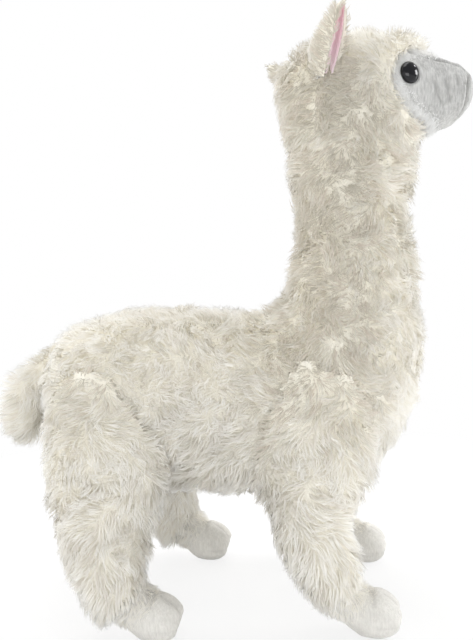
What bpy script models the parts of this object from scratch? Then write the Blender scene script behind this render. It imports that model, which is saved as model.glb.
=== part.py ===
"""A standing plush alpaca: one stuffed body bag with sewn-on legs, feet, face, ears and tail.

The toy stands on the floor, faces +X and has its right side towards -Y. Each fur bag is a solid
whose surface is the mean height of the pile, with the locks of the pile raised on it.
"""
import math
from dataclasses import dataclass

import bpy
import numpy as np
from mathutils import Matrix, Vector

MM = 0.001
SEAM_GAP = 0.3 * MM  # clearance between two sewn or seated pieces
RIGHT, LEFT = -1, 1  # the sign of Y on each side

LOCK_SPACING = 24 * MM  # distance between neighbouring locks of pile
LOCK_LENGTH = 1.7  # length of a lock over its width
LOCK_HEIGHT = 8.0 * MM  # how far a lock stands above the hollows round it
LOCK_SINK = 0.38  # share of the lock height by which the hollows lie below the mean
FACE_CALM = 0.15  # share of the lock height that is left beside the face
FACE_CALM_X = (150 * MM, 128 * MM)  # the locks are full again behind the second place
FACE_CALM_Z = (385 * MM, 360 * MM)  # and below the second height
LEG_CALM = 0.35  # share of the lock height that is left at both ends of a leg
ANKLE_CALM_Z = (20 * MM, 60 * MM)
HIP_CALM_Z = (205 * MM, 165 * MM)

BODY_RINGS, BODY_SIDES = 60, 28
LEG_RINGS, LEG_SIDES = 18, 16
FOOT_RINGS, FOOT_SIDES = 12, 12
FACE_RINGS, FACE_SIDES = 14, 20
TAIL_RINGS, TAIL_SIDES = 12, 16
EAR_RINGS, EAR_ARC = 9, 7
EYE_SIDES = 16
DOME_RINGS = 5
WASHER_SIDES = 16
POCKET_SIDES = 15

EYE_RADIUS = 8.8 * MM
EYE_BULGE = 5.6 * MM
EYE_PLACE = Vector((142.2, 37.0, 423.5)) * MM
EYE_TURN = math.radians(38)  # how far each eye looks forward of straight sideways
EYE_LIFT = math.radians(8)  # how far each eye looks up
EYE_EDGE = 0.2 * MM  # height of the straight edge below the dome
EYE_BEVEL = 0.6 * MM  # how far the underside of the dome draws in
SEAT_REACH = 12 * MM  # length of the cutter that lets the dome into the face
OPENING_REACH = 70 * MM  # half the length of the cutter for the face opening
SHANK_RADIUS = 2.4 * MM
SHANK_LENGTH = 12.5 * MM
WASHER_RADIUS = 7.5 * MM
WASHER_THICKNESS = 1.6 * MM
WASHER_DEPTH = 7.0 * MM  # from the seat of the eye to the washer

HIP_HEIGHT = 175 * MM  # legs lean about this height when a foot is set forward
REAR_FOOT = Vector((-62, 86.8, 0)) * MM
FRONT_FOOT = Vector((103.3, 78.5, 0)) * MM
LEFT_REAR_STRIDE = 21 * MM  # how far the left rear foot stands ahead of the right one
LEFT_FRONT_STRIDE = 2 * MM

EAR_LENGTH = 58 * MM
EAR_WIDTH = 12.5 * MM  # radius of the cupped ear at its widest
EAR_SHELL = 5.5 * MM
LINING_THICKNESS = 2.0 * MM
EAR_ROOT = Vector((78.5, 44.5, 421)) * MM
EAR_SPLAY = math.radians(12)  # how far an ear leans out from the head
EAR_CURL = 6 * MM  # how far the tip bends forward
EAR_DEEPENING = 1.25  # depth of the cup over its half width
EAR_WRAP = math.radians(118)  # how far the ear wraps round the cup to each side
LINING_WRAP = math.radians(124)
LINING_SPAN = (0.06, 0.93)  # where the lining starts and ends along the ear
RIGHT_EAR_LEAN, RIGHT_EAR_TURN = math.radians(10), math.radians(36)
LEFT_EAR_LEAN, LEFT_EAR_TURN = math.radians(-60), math.radians(24)


@dataclass
class Station:
    """One oval section: its upper and lower points in X and Z, half width and middle Y."""

    upper: tuple
    lower: tuple
    half: float
    middle: float = 0.0


# The body bag from the rump along the back, up the neck and over the head to the face.
BODY = [
    Station((-158, 207), (-155, 147), 36),
    Station((-146, 225), (-141, 115), 58),
    Station((-120, 238.5), (-114, 100), 70),
    Station((-88, 245), (-84, 97.5), 76),
    Station((-52, 245), (-47, 97), 78),
    Station((-18, 242), (-10, 93.5), 78),
    Station((12, 240), (32, 89), 77),
    Station((29, 244), (77, 92), 74),
    Station((40, 255.5), (113, 113), 69),
    Station((46.5, 271), (136.5, 144.5), 63),
    Station((50.5, 289), (149.5, 187), 57),
    Station((51, 308), (151.5, 232), 53),
    Station((50.5, 326), (149, 272), 50),
    Station((49.5, 343), (145, 312), 48),
    Station((47.5, 361), (144, 338), 47),
    Station((44, 379), (147.5, 358), 47),
    Station((40, 397), (153.5, 373), 48),
    Station((38.5, 416), (157.5, 379), 49.5),
    Station((41.5, 434), (160, 381), 50),
    Station((53, 450), (161, 383), 50),
    Station((76, 460.5), (162, 385), 49.5),
    Station((104, 463), (162.5, 387), 48),
    Station((131, 460.5), (163, 389), 45),
    Station((150, 455), (163.5, 392), 41),
    Station((159, 449.5), (164, 399), 32),
]
BODY_ENDS = ((-162, 178), (164.5, 425))

# The fur stops behind the eyes along this curve in X and Z, which the smooth face fills.
FACE_OPENING = [
    (172, 446),
    (153, 445.3),
    (142, 441),
    (134, 433),
    (130.5, 422),
    (133, 409),
    (141, 397.5),
    (152, 389),
    (163, 383.5),
    (176, 375),
    (230, 375),
    (230, 446),
]

# The short-piled face from its root inside the head to the nose.
FACE = [
    Station((121, 437), (121, 402), 26),
    Station((129, 444), (129, 394), 38),
    Station((142, 445.5), (141, 387.5), 38),
    Station((154, 444.2), (153, 383.5), 31),
    Station((165, 441.6), (163, 382), 26.5),
    Station((175, 438.2), (173, 385.2), 24),
    Station((184, 433.6), (182.2, 390), 21.8),
    Station((191, 427.6), (189, 396.2), 18),
    Station((194.8, 420.5), (193.6, 404), 11.5),
]
FACE_ENDS = ((118, 420), (196, 412.5))
FACE_FULLNESS = 2.4

REAR_LEG = [
    Station((-82, 204), (-126, 204), 12, 58),
    Station((-68, 190), (-141, 187), 22, 58),
    Station((-57, 166), (-149, 162), 29.5, 61),
    Station((-51, 141), (-148, 134), 33.5, 65),
    Station((-51, 118), (-146, 111), 33, 69),
    Station((-58, 96), (-141.5, 88), 32, 74),
    Station((-63, 76), (-134.5, 66), 30.5, 79),
    Station((-66, 59), (-125, 46.5), 29, 83),
    Station((-68, 47), (-114, 29), 26.5, 86),
    Station((-71, 39), (-104, 16.5), 22, 87),
]
REAR_LEG_ENDS = ((-104, 209), (-85, 23))

FRONT_LEG = [
    Station((80, 209), (40, 207), 11, 57),
    Station((95, 195), (25, 190), 21, 57),
    Station((106, 172), (17, 165), 27.5, 59.5),
    Station((110, 149), (15, 140), 31, 62),
    Station((108, 129), (17, 118), 30.5, 65),
    Station((99, 109), (22.5, 98), 29.5, 69),
    Station((91, 91), (28.5, 80), 28, 72),
    Station((89, 75), (35, 63), 26.5, 75),
    Station((90.5, 61), (42.5, 47.5), 25, 77),
    Station((93.5, 50), (51, 34), 23.5, 78),
    Station((95, 43), (62.5, 21), 20, 78.5),
]
FRONT_LEG_ENDS = ((60, 213), (80.5, 28))

# A foot from its ankle plug inside the leg to the toes, about the middle of its sole.
FOOT = [
    Station((-24, 54), (-40, 39), 11),
    Station((-17, 49.5), (-38, 29), 15),
    Station((-11, 44), (-32, 20), 16),
    Station((-4, 38), (-24.5, 12.5), 16.5),
    Station((3, 36.8), (-18, 5.5), 18),
    Station((9, 34.8), (-11, 0.5), 20),
    Station((14.5, 31.2), (-1, -0.8), 21),
    Station((19, 26.5), (8, -0.4), 20),
    Station((21.4, 20.5), (15.5, 4), 15.5),
]
FOOT_ENDS = ((-32, 49), (21.8, 13))
FRONT_ANKLE_DROP = (-4, -4)  # how far a front ankle lies behind and below a rear one
ANKLE_SHIFT_Z = (8, 36)  # the shift of the ankle starts and is full at these heights
ANKLE_SHIFT_X = (4 * MM, -12 * MM)  # and at these places from the middle of the sole
TOE_RISE_X = (1 * MM, 11 * MM)  # the cleft starts and is full at these places
TOE_RISE_Z = (2 * MM, 10 * MM)  # and at these heights
CLEFT_DEPTH = 3.4 * MM
CLEFT_WIDTH = 3.2 * MM

TAIL = [
    Station((-152, 223), (-140, 199), 17),
    Station((-168, 212), (-150, 184), 23),
    Station((-185, 198.5), (-158, 171), 25.5),
    Station((-198, 181.5), (-165, 158.5), 25.5),
    Station((-204, 165), (-169, 148), 23.5),
    Station((-201, 150), (-175.5, 138.5), 19),
]
TAIL_ENDS = ((-143, 214), (-189, 137.5))


def start_empty():
    """Removes everything that the file starts with."""
    for ob in list(bpy.data.objects):
        bpy.data.objects.remove(ob, do_unlink=True)


def new_collection(name):
    found = bpy.data.collections.new(name)
    bpy.context.scene.collection.children.link(found)
    return found


def new_material(name, colour, roughness):
    made = bpy.data.materials.new(name)
    made.use_nodes = True
    shader = made.node_tree.nodes["Principled BSDF"]
    shader.inputs["Base Color"].default_value = (*colour, 1.0)
    shader.inputs["Roughness"].default_value = roughness
    shader.inputs["Metallic"].default_value = 0.0
    made.diffuse_color = (*colour, 1.0)
    return made


def new_object(name, points, faces, material, home):
    """A smooth-shaded mesh object whose faces all look outward."""
    mesh = bpy.data.meshes.new(name)
    mesh.from_pydata([tuple(p) for p in points], [], faces)
    if volume_of(points, faces) < 0:
        mesh.flip_normals()
    mesh.polygons.foreach_set("use_smooth", [True] * len(mesh.polygons))
    mesh.materials.append(material)
    mesh.update()
    made = bpy.data.objects.new(name, mesh)
    home.objects.link(made)
    return made


def volume_of(points, faces):
    """Six times the signed volume inside a closed mesh."""
    points = np.asarray(points, float)
    total = 0.0
    for face in faces:
        first = points[face[0]]
        for second, third in zip(face[1:-1], face[2:]):
            total += first.dot(np.cross(points[second], points[third]))
    return total


def smooth_rows(rows, count):
    """Samples count rows on a smooth curve through the given rows, evenly by length."""
    rows = np.asarray(rows, float)
    steps = np.linalg.norm(np.diff(rows, axis=0), axis=1)
    along = np.concatenate([[0.0], np.cumsum(steps)])
    slopes = np.gradient(rows, along, axis=0)
    wanted = np.linspace(0.0, along[-1], count)
    index = np.clip(np.searchsorted(along, wanted, side="right") - 1, 0, len(rows) - 2)
    span = (along[index + 1] - along[index])[:, None]
    t = (wanted - along[index])[:, None] / span
    start, end = rows[index], rows[index + 1]
    into, out = slopes[index] * span, slopes[index + 1] * span
    return (
        (2 * t**3 - 3 * t**2 + 1) * start
        + (t**3 - 2 * t**2 + t) * into
        + (3 * t**2 - 2 * t**3) * end
        + (t**3 - t**2) * out
    )


def loft(stations, ends, rings, sides, fullness=2.0):
    """Points and faces of a bag through oval stations, closed by a pole at each end.

    A fullness of 2 makes ellipses, and more than 2 fills their corners.
    """
    rows = [(*s.upper, *s.lower, s.half, s.middle) for s in stations]
    rows = smooth_rows(rows, rings) * MM
    turn = np.linspace(0.0, 2 * math.pi, sides, endpoint=False)
    up, across = (np.sign(w) * np.abs(w) ** (2 / fullness) for w in (np.cos(turn), np.sin(turn)))
    middle = (rows[:, 0:2] + rows[:, 2:4]) / 2
    reach = (rows[:, 0:2] - rows[:, 2:4]) / 2
    x = middle[:, :1] + reach[:, :1] * up
    z = middle[:, 1:] + reach[:, 1:] * up
    y = rows[:, 5:] + rows[:, 4:5] * across
    points = np.stack([x, y, z], axis=2).reshape(-1, 3)
    poles = [(end[0] * MM, row[5], end[1] * MM) for end, row in zip(ends, (rows[0], rows[-1]))]
    points = np.vstack([points, poles])
    return points, tube_faces(rings, sides, poles=True)


def tube_faces(rings, sides, poles):
    """Triangles between rings, then triangles to the two poles or one face over each end."""
    faces = []
    for ring in range(rings - 1):
        for side in range(sides):
            after = (side + 1) % sides
            low, high = ring * sides, (ring + 1) * sides
            faces.append((low + side, low + after, high + after))
            faces.append((low + side, high + after, high + side))
    last = (rings - 1) * sides
    if poles:
        first_pole, last_pole = rings * sides, rings * sides + 1
        for side in range(sides):
            after = (side + 1) % sides
            faces.append((first_pole, after, side))
            faces.append((last_pole, last + side, last + after))
    else:
        faces.append(tuple(reversed(range(sides))))
        faces.append(tuple(range(last, last + sides)))
    return faces


def vertex_normals(points, faces):
    """Area-weighted outward normal at each point of a closed mesh of triangles."""
    normals = np.zeros_like(points)
    for face in faces:
        corners = points[list(face)]
        spread = np.cross(corners[1] - corners[0], corners[2] - corners[0])
        for index in face:
            normals[index] += spread
    normals /= np.linalg.norm(normals, axis=1)[:, None]
    return normals * math.copysign(1.0, volume_of(points, faces))


def lock_relief(points, seed):
    """Height of the locks at each point: cells that rise to a ridge near their lower end."""
    rng = np.random.default_rng(seed)
    low = points.min(axis=0) - LOCK_SPACING
    high = points.max(axis=0) + LOCK_SPACING
    pace = LOCK_SPACING * np.array([1.0, 1.0, LOCK_LENGTH])
    axes = [np.arange(a, b, step) for a, b, step in zip(low, high, pace)]
    cells = np.stack(np.meshgrid(*axes, indexing="ij"), axis=-1).reshape(-1, 3)
    cells += rng.uniform(-0.42, 0.42, cells.shape) * pace
    offset = (points[:, None, :] - cells[None, :, :]) / pace
    distance = np.linalg.norm(offset, axis=2)
    nearest = distance.argmin(axis=1)
    rows = np.arange(len(points))
    drop = offset[rows, nearest, 2]
    height = np.clip(1.0 - 1.25 * distance[rows, nearest], 0.0, 1.0)
    return height * (1.0 - 0.9 * drop) - LOCK_SINK


def furred(points, faces, seed, calm=None):
    """Raises locks of pile on a bag. Where calm is 0 the surface stays as it was."""
    relief = lock_relief(points, seed) * LOCK_HEIGHT
    if calm is not None:
        relief = relief * calm
    return points + vertex_normals(points, faces) * relief[:, None]


def ramp(values, start, full):
    """0 up to start and 1 from full on, with an even rise between."""
    return np.clip((values - start) / (full - start), 0.0, 1.0)


def fade(values, start, full):
    """0 up to start and 1 from full on, with a soft rise between."""
    t = ramp(values, start, full)
    return t * t * (3 - 2 * t)


def grown(points, faces, by):
    """The same closed mesh with each point moved outward."""
    return points + vertex_normals(points, faces) * by


def cut_away(target, cutter):
    """Takes the cutter out of the target with an exact Boolean."""
    cut = target.modifiers.new("cut_" + cutter.name, "BOOLEAN")
    cut.operation = "DIFFERENCE"
    cut.solver = "EXACT"
    cut.object = cutter


def new_cutter(name, points, faces, material, home):
    made = new_object(name, points, faces, material, home)
    made.hide_render = True
    made.display_type = "WIRE"
    return made


def lathe(profile, sides, place):
    """Points and faces of a turned solid from (radius, height) rows that start and end at 0."""
    turn = np.linspace(0.0, 2 * math.pi, sides, endpoint=False)
    body = np.asarray(profile[1:-1], float)
    x = body[:, :1] * np.cos(turn)
    y = body[:, :1] * np.sin(turn)
    z = np.repeat(body[:, 1:], sides, axis=1)
    points = np.stack([x, y, z], axis=2).reshape(-1, 3)
    points = np.vstack([points, (0, 0, profile[0][1]), (0, 0, profile[-1][1])])
    points = np.array([place @ Vector(p) for p in points])
    return points, tube_faces(len(body), sides, poles=True)


def ring_solid(inner, outer, low, high, sides, place):
    """Points and faces of a flat washer."""
    turn = np.linspace(0.0, 2 * math.pi, sides, endpoint=False)
    section = [(inner, low), (outer, low), (outer, high), (inner, high)]
    points = [
        place @ Vector((r * math.cos(t), r * math.sin(t), h)) for t in turn for r, h in section
    ]
    faces = []
    for step in range(sides):
        here, there = 4 * step, 4 * ((step + 1) % sides)
        for side in range(4):
            after = (side + 1) % 4
            faces.append((here + side, there + side, there + after, here + after))
    return np.array([tuple(p) for p in points]), faces


def build_body(materials, home, tools):
    """The body bag and its slightly larger copy, which its neighbours are cut with."""
    points, faces = loft(BODY, BODY_ENDS, BODY_RINGS, BODY_SIDES)
    away = fade(points[:, 0], *FACE_CALM_X) + fade(points[:, 2], *FACE_CALM_Z)
    points = furred(points, faces, 3, np.clip(away, FACE_CALM, 1.0))
    body = new_object("body", points, faces, materials["fur"], home)
    larger = grown(points, faces, SEAM_GAP)
    return body, new_cutter("body_clearance", larger, faces, materials["fur"], tools)


def face_opening_cutter(material, tools):
    """A slab across the head in the outline of the opening for the face."""
    outline = np.array(FACE_OPENING) * MM
    count = len(outline)
    points = [(x, side * OPENING_REACH, z) for side in (RIGHT, LEFT) for x, z in outline]
    faces = [
        (i, (i + 1) % count, count + (i + 1) % count, count + i) for i in range(count)
    ]
    faces += [tuple(reversed(range(count))), tuple(range(count, 2 * count))]
    return new_cutter("face_opening", np.array(points), faces, material, tools)


def eye_frame(side):
    """Places the eye's own Z axis along the way it looks."""
    sideways = Matrix.Rotation((math.pi / 2 - EYE_LIFT) * -side, 4, "X")
    forward = Matrix.Rotation(-side * EYE_TURN, 4, "Z")
    place = Vector((EYE_PLACE.x, side * EYE_PLACE.y, EYE_PLACE.z))
    return Matrix.Translation(place) @ forward @ sideways


def eye_profile(clear):
    """The glossy dome over its seat and the shank behind it, grown by clear."""
    dome = []
    for step in range(DOME_RINGS):
        tilt = math.radians(90 - 85 * step / (DOME_RINGS - 1))
        dome.append(
            ((EYE_RADIUS + clear) * math.cos(tilt), (EYE_BULGE + clear) * math.sin(tilt))
        )
    under = -EYE_EDGE - EYE_BEVEL - clear
    edge = [(EYE_RADIUS + clear, -EYE_EDGE), (EYE_RADIUS - EYE_BEVEL + clear, under)]
    shank = [
        (SHANK_RADIUS + clear, under),
        (SHANK_RADIUS + clear, -SHANK_LENGTH - clear),
        (0.0, -SHANK_LENGTH - clear),
    ]
    dome[0] = (0.0, EYE_BULGE + clear)
    return dome + edge + shank


def build_face(body, materials, home, tools):
    """The face in its socket, with both eyes held by washers behind the cloth."""
    points, faces = loft(FACE, FACE_ENDS, FACE_RINGS, FACE_SIDES, FACE_FULLNESS)
    face = new_object("muzzle", points, faces, materials["velboa"], home)
    cut_away(body, face_opening_cutter(materials["fur"], tools))
    socket = grown(points, faces, SEAM_GAP)
    cut_away(body, new_cutter("face_socket", socket, faces, materials["fur"], tools))
    for side, name in ((RIGHT, "right"), (LEFT, "left")):
        place = eye_frame(side)
        eye = lathe(eye_profile(0.0), EYE_SIDES, place)
        new_object(name + "_eye", *eye, materials["eye"], home)
        low = -WASHER_DEPTH - WASHER_THICKNESS
        washer = ring_solid(
            SHANK_RADIUS + SEAM_GAP, WASHER_RADIUS, low, -WASHER_DEPTH, WASHER_SIDES, place
        )
        new_object(name + "_eye_washer", *washer, materials["washer"], home)
        seat = [(0, SEAT_REACH), (EYE_RADIUS + SEAM_GAP, SEAT_REACH)]
        seat += eye_profile(SEAM_GAP)[DOME_RINGS:]
        pocket = [
            (0, SEAM_GAP - WASHER_DEPTH),
            (WASHER_RADIUS + SEAM_GAP, SEAM_GAP - WASHER_DEPTH),
            (WASHER_RADIUS + SEAM_GAP, low - SEAM_GAP),
            (0, low - SEAM_GAP),
        ]
        cuts = (("_eye_seat", seat, EYE_SIDES), ("_washer_pocket", pocket, POCKET_SIDES))
        for tool, profile, sides in cuts:
            solid = lathe(profile, sides, place)
            cut_away(face, new_cutter(name + tool, *solid, materials["velboa"], tools))


def foot_solid(drop):
    """One foot about the middle of its sole, with a flat sole and a cleft between two toes."""
    points, faces = loft(FOOT, FOOT_ENDS, FOOT_RINGS, FOOT_SIDES)
    share = ramp(points[:, 2] / MM, *ANKLE_SHIFT_Z) * ramp(points[:, 0], *ANKLE_SHIFT_X)
    points[:, 0] += share * drop[0] * MM
    points[:, 2] += share * drop[1] * MM
    near_middle = np.exp(-((points[:, 1] / CLEFT_WIDTH) ** 2))
    toes = fade(points[:, 0], *TOE_RISE_X) * fade(points[:, 2], *TOE_RISE_Z)
    sink = CLEFT_DEPTH * near_middle * toes
    points = points - vertex_normals(points, faces) * sink[:, None]
    points[:, 2] = np.maximum(points[:, 2], 0.0)
    return points, faces


def leg_lean(points, stride):
    """Moves a leg's points forward by stride at the floor and not at all at the hip."""
    leant = points.copy()
    leant[:, 0] += stride * np.clip(1 - points[:, 2] / HIP_HEIGHT, 0, 1)
    return leant


def build_leg(name, rear, side, stride, body_cutter, materials, home, tools, seed):
    """A fur leg cut to lie on the body, with its foot plugged into its lower end."""
    stations, ends = (REAR_LEG, REAR_LEG_ENDS) if rear else (FRONT_LEG, FRONT_LEG_ENDS)
    points, faces = loft(stations, ends, LEG_RINGS, LEG_SIDES)
    ends_calm = fade(points[:, 2], *ANKLE_CALM_Z) * fade(points[:, 2], *HIP_CALM_Z)
    calm = LEG_CALM + (1 - LEG_CALM) * ends_calm
    points = leg_lean(furred(points, faces, seed, calm), stride)
    points[:, 1] *= side
    leg = new_object(name + "_leg", points, faces, materials["fur"], home)
    cut_away(leg, body_cutter)
    points, faces = foot_solid((0, 0) if rear else FRONT_ANKLE_DROP)
    place = REAR_FOOT if rear else FRONT_FOOT
    points = points + np.array((place.x + stride, place.y, 0))
    points[:, 1] *= side
    new_object(name + "_foot", points, faces, materials["velboa"], home)
    larger = grown(points, faces, SEAM_GAP)
    tool = new_cutter(name + "_foot_clearance", larger, faces, materials["fur"], tools)
    cut_away(leg, tool)


def ear_frame(side, lean, turn):
    """Base of an ear: its Z axis runs to the tip and its X axis points out of the cup."""
    place = Vector((EAR_ROOT.x, side * EAR_ROOT.y, EAR_ROOT.z))
    outward = Matrix.Rotation(-EAR_SPLAY * side, 4, "X")
    back = Matrix.Rotation(lean, 4, "Y")
    open_way = Matrix.Rotation(side * turn, 4, "Z")
    return Matrix.Translation(place) @ outward @ back @ open_way


def ear_section(along, outer, inner, half_angle):
    """A crescent of the cupped ear: its outer arc one way and its inner arc back."""
    swell = math.sin(math.pi * (0.22 + 0.74 * along)) ** 0.95
    angles = np.linspace(math.pi - half_angle, math.pi + half_angle, EAR_ARC)
    rows = []
    for radius, way in ((outer, 1), (inner, -1)):
        for angle in angles[::way]:
            size = radius * swell
            rows.append((size * EAR_DEEPENING * math.cos(angle), size * math.sin(angle)))
    return rows


def crescent_solid(outer, inner, half_angle, start, end, place):
    """A cupped leaf from start to end along the ear."""
    points = []
    for along in np.linspace(start, end, EAR_RINGS):
        for x, y in ear_section(along, outer, inner, half_angle):
            curl = EAR_CURL * along**2
            points.append(place @ Vector((x + curl, y, along * EAR_LENGTH)))
    points = np.array([tuple(p) for p in points])
    return points, tube_faces(EAR_RINGS, 2 * EAR_ARC, poles=False)


def build_ear(name, side, lean, turn, body_cutter, materials, home):
    """A fur ear back with its thin lining nested in the cup."""
    place = ear_frame(side, lean, turn)
    inner = EAR_WIDTH - EAR_SHELL
    back = crescent_solid(EAR_WIDTH, inner, EAR_WRAP, 0.0, 1.0, place)
    ear = new_object(name + "_ear_back", *back, materials["fur"], home)
    outer = inner - 2 * SEAM_GAP
    leaf = crescent_solid(outer, outer - LINING_THICKNESS, LINING_WRAP, *LINING_SPAN, place)
    lining = new_object(name + "_ear_lining", *leaf, materials["lining"], home)
    cut_away(ear, body_cutter)
    cut_away(lining, body_cutter)


def build_tail(body_cutter, materials, home):
    """The short flat tail that hangs from the top of the rump."""
    points, faces = loft(TAIL, TAIL_ENDS, TAIL_RINGS, TAIL_SIDES)
    points = furred(points, faces, 17)
    tail = new_object("tail", points, faces, materials["fur"], home)
    cut_away(tail, body_cutter)


def centre_over_origin(home, tools):
    """Moves every mesh so that the toy's bounding box stands centred on the origin."""
    graph = bpy.context.evaluated_depsgraph_get()
    corners = [
        Vector(corner) for ob in home.objects for corner in ob.evaluated_get(graph).bound_box
    ]
    low = Vector(min(c[axis] for c in corners) for axis in range(3))
    high = Vector(max(c[axis] for c in corners) for axis in range(3))
    shift = Vector((-(low.x + high.x) / 2, -(low.y + high.y) / 2, -low.z))
    for ob in list(home.objects) + list(tools.objects):
        ob.data.transform(Matrix.Translation(shift))


def main():
    start_empty()
    home = new_collection("plush_alpaca")
    tools = new_collection("cutters")
    materials = {
        "fur": new_material("fur", (0.86, 0.84, 0.77), 0.95),
        "velboa": new_material("velboa", (0.80, 0.80, 0.79), 0.9),
        "lining": new_material("lining", (0.86, 0.50, 0.56), 0.85),
        "eye": new_material("eye", (0.008, 0.008, 0.01), 0.08),
        "washer": new_material("washer", (0.82, 0.82, 0.80), 0.5),
    }
    body, body_cutter = build_body(materials, home, tools)
    build_face(body, materials, home, tools)
    legs = (
        ("rear_right", True, RIGHT, 0.0),
        ("rear_left", True, LEFT, LEFT_REAR_STRIDE),
        ("front_right", False, RIGHT, 0.0),
        ("front_left", False, LEFT, LEFT_FRONT_STRIDE),
    )
    for seed, (name, rear, side, stride) in enumerate(legs, start=5):
        build_leg(name, rear, side, stride, body_cutter, materials, home, tools, seed)
    ears = (
        ("right", RIGHT, RIGHT_EAR_LEAN, RIGHT_EAR_TURN),
        ("left", LEFT, LEFT_EAR_LEAN, LEFT_EAR_TURN),
    )
    for name, side, lean, turn in ears:
        build_ear(name, side, lean, turn, body_cutter, materials, home)
    build_tail(body_cutter, materials, home)
    centre_over_origin(home, tools)


main()
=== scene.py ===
"""Dresses the plush alpaca: its pile, short-piled face and feet, ears, eyes, light and camera."""

from __future__ import annotations

import logging
import math
from dataclasses import dataclass, field
from enum import Enum

import bpy
import numpy as np
from mathutils import Matrix, Vector
from mathutils.bvhtree import BVHTree


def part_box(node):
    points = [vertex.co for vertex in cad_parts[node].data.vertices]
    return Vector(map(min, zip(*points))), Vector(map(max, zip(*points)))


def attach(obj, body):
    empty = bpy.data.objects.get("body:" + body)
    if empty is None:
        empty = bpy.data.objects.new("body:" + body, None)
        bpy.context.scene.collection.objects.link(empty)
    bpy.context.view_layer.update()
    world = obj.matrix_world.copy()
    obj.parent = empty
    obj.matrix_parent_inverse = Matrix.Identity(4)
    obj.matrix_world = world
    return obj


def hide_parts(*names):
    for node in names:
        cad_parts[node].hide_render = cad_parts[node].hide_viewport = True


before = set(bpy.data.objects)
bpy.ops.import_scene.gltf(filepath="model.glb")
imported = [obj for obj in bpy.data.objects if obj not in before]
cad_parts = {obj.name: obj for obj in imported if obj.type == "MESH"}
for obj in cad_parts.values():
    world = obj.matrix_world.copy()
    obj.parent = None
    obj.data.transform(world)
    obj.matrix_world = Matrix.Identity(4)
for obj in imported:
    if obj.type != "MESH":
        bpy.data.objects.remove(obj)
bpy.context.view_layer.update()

MM = 0.001
BODY = "root"  # the toy's one body
PILE_MAP = "Pile"  # the fibres' map: tone across and root to tip along
BAKE_MAP = "OFBake"  # the same map once more, for the bake
# the share of painted shade in the seams and grooves of the face and feet
PAINTED_SEAM_SHADE = "Sewn"  # how much of a seam's shadow each point of a short-piled piece has
EDGE = "Edge"  # how far each point of the face is from the long pile, from 0 to 1
WELD = 0.01 * MM  # points of a CAD node that lie closer than this are one
SEARCH = 30 * MM  # how far a neighbour is looked for
log = logging.getLogger("plush_alpaca")


class Side(Enum):
    """A side of the toy, as the sign of Y."""

    RIGHT = -1
    LEFT = 1


class Comb(Enum):
    """Which way a bag's pile is brushed."""

    BODY = "body"
    LEG = "leg"
    TAIL = "tail"
    EAR = "ear"
    CHEEK = "cheek"


# Shader expressions


class Socket:
    """A shader value that can be written in a Python expression."""

    def __init__(self, tree: "Nodes", socket: bpy.types.NodeSocket) -> None:
        """Keeps the tree and the output socket."""
        self.tree = tree
        self.socket = socket

    def _math(self, operation: str, *values: "Socket | float") -> "Socket":
        """A Math node on the given values."""
        inputs = dict(enumerate(values))
        return self.tree.add("ShaderNodeMath", {"operation": operation}, inputs)

    def __add__(self, other: "Socket | float") -> "Socket":
        """Sum."""
        return self._math("ADD", self, other)

    __radd__ = __add__

    def __sub__(self, other: "Socket | float") -> "Socket":
        """Difference."""
        return self._math("SUBTRACT", self, other)

    def __rsub__(self, other: float) -> "Socket":
        """Difference from a number."""
        return self._math("SUBTRACT", other, self)

    def __mul__(self, other: "Socket | float") -> "Socket":
        """Product."""
        return self._math("MULTIPLY", self, other)

    __rmul__ = __mul__

    def __truediv__(self, other: "Socket | float") -> "Socket":
        """Quotient."""
        return self._math("DIVIDE", self, other)

    def clamped(self) -> "Socket":
        """The value kept within 0 and 1."""
        return self._math("MINIMUM", self._math("MAXIMUM", self, 0.0), 1.0)


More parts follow.
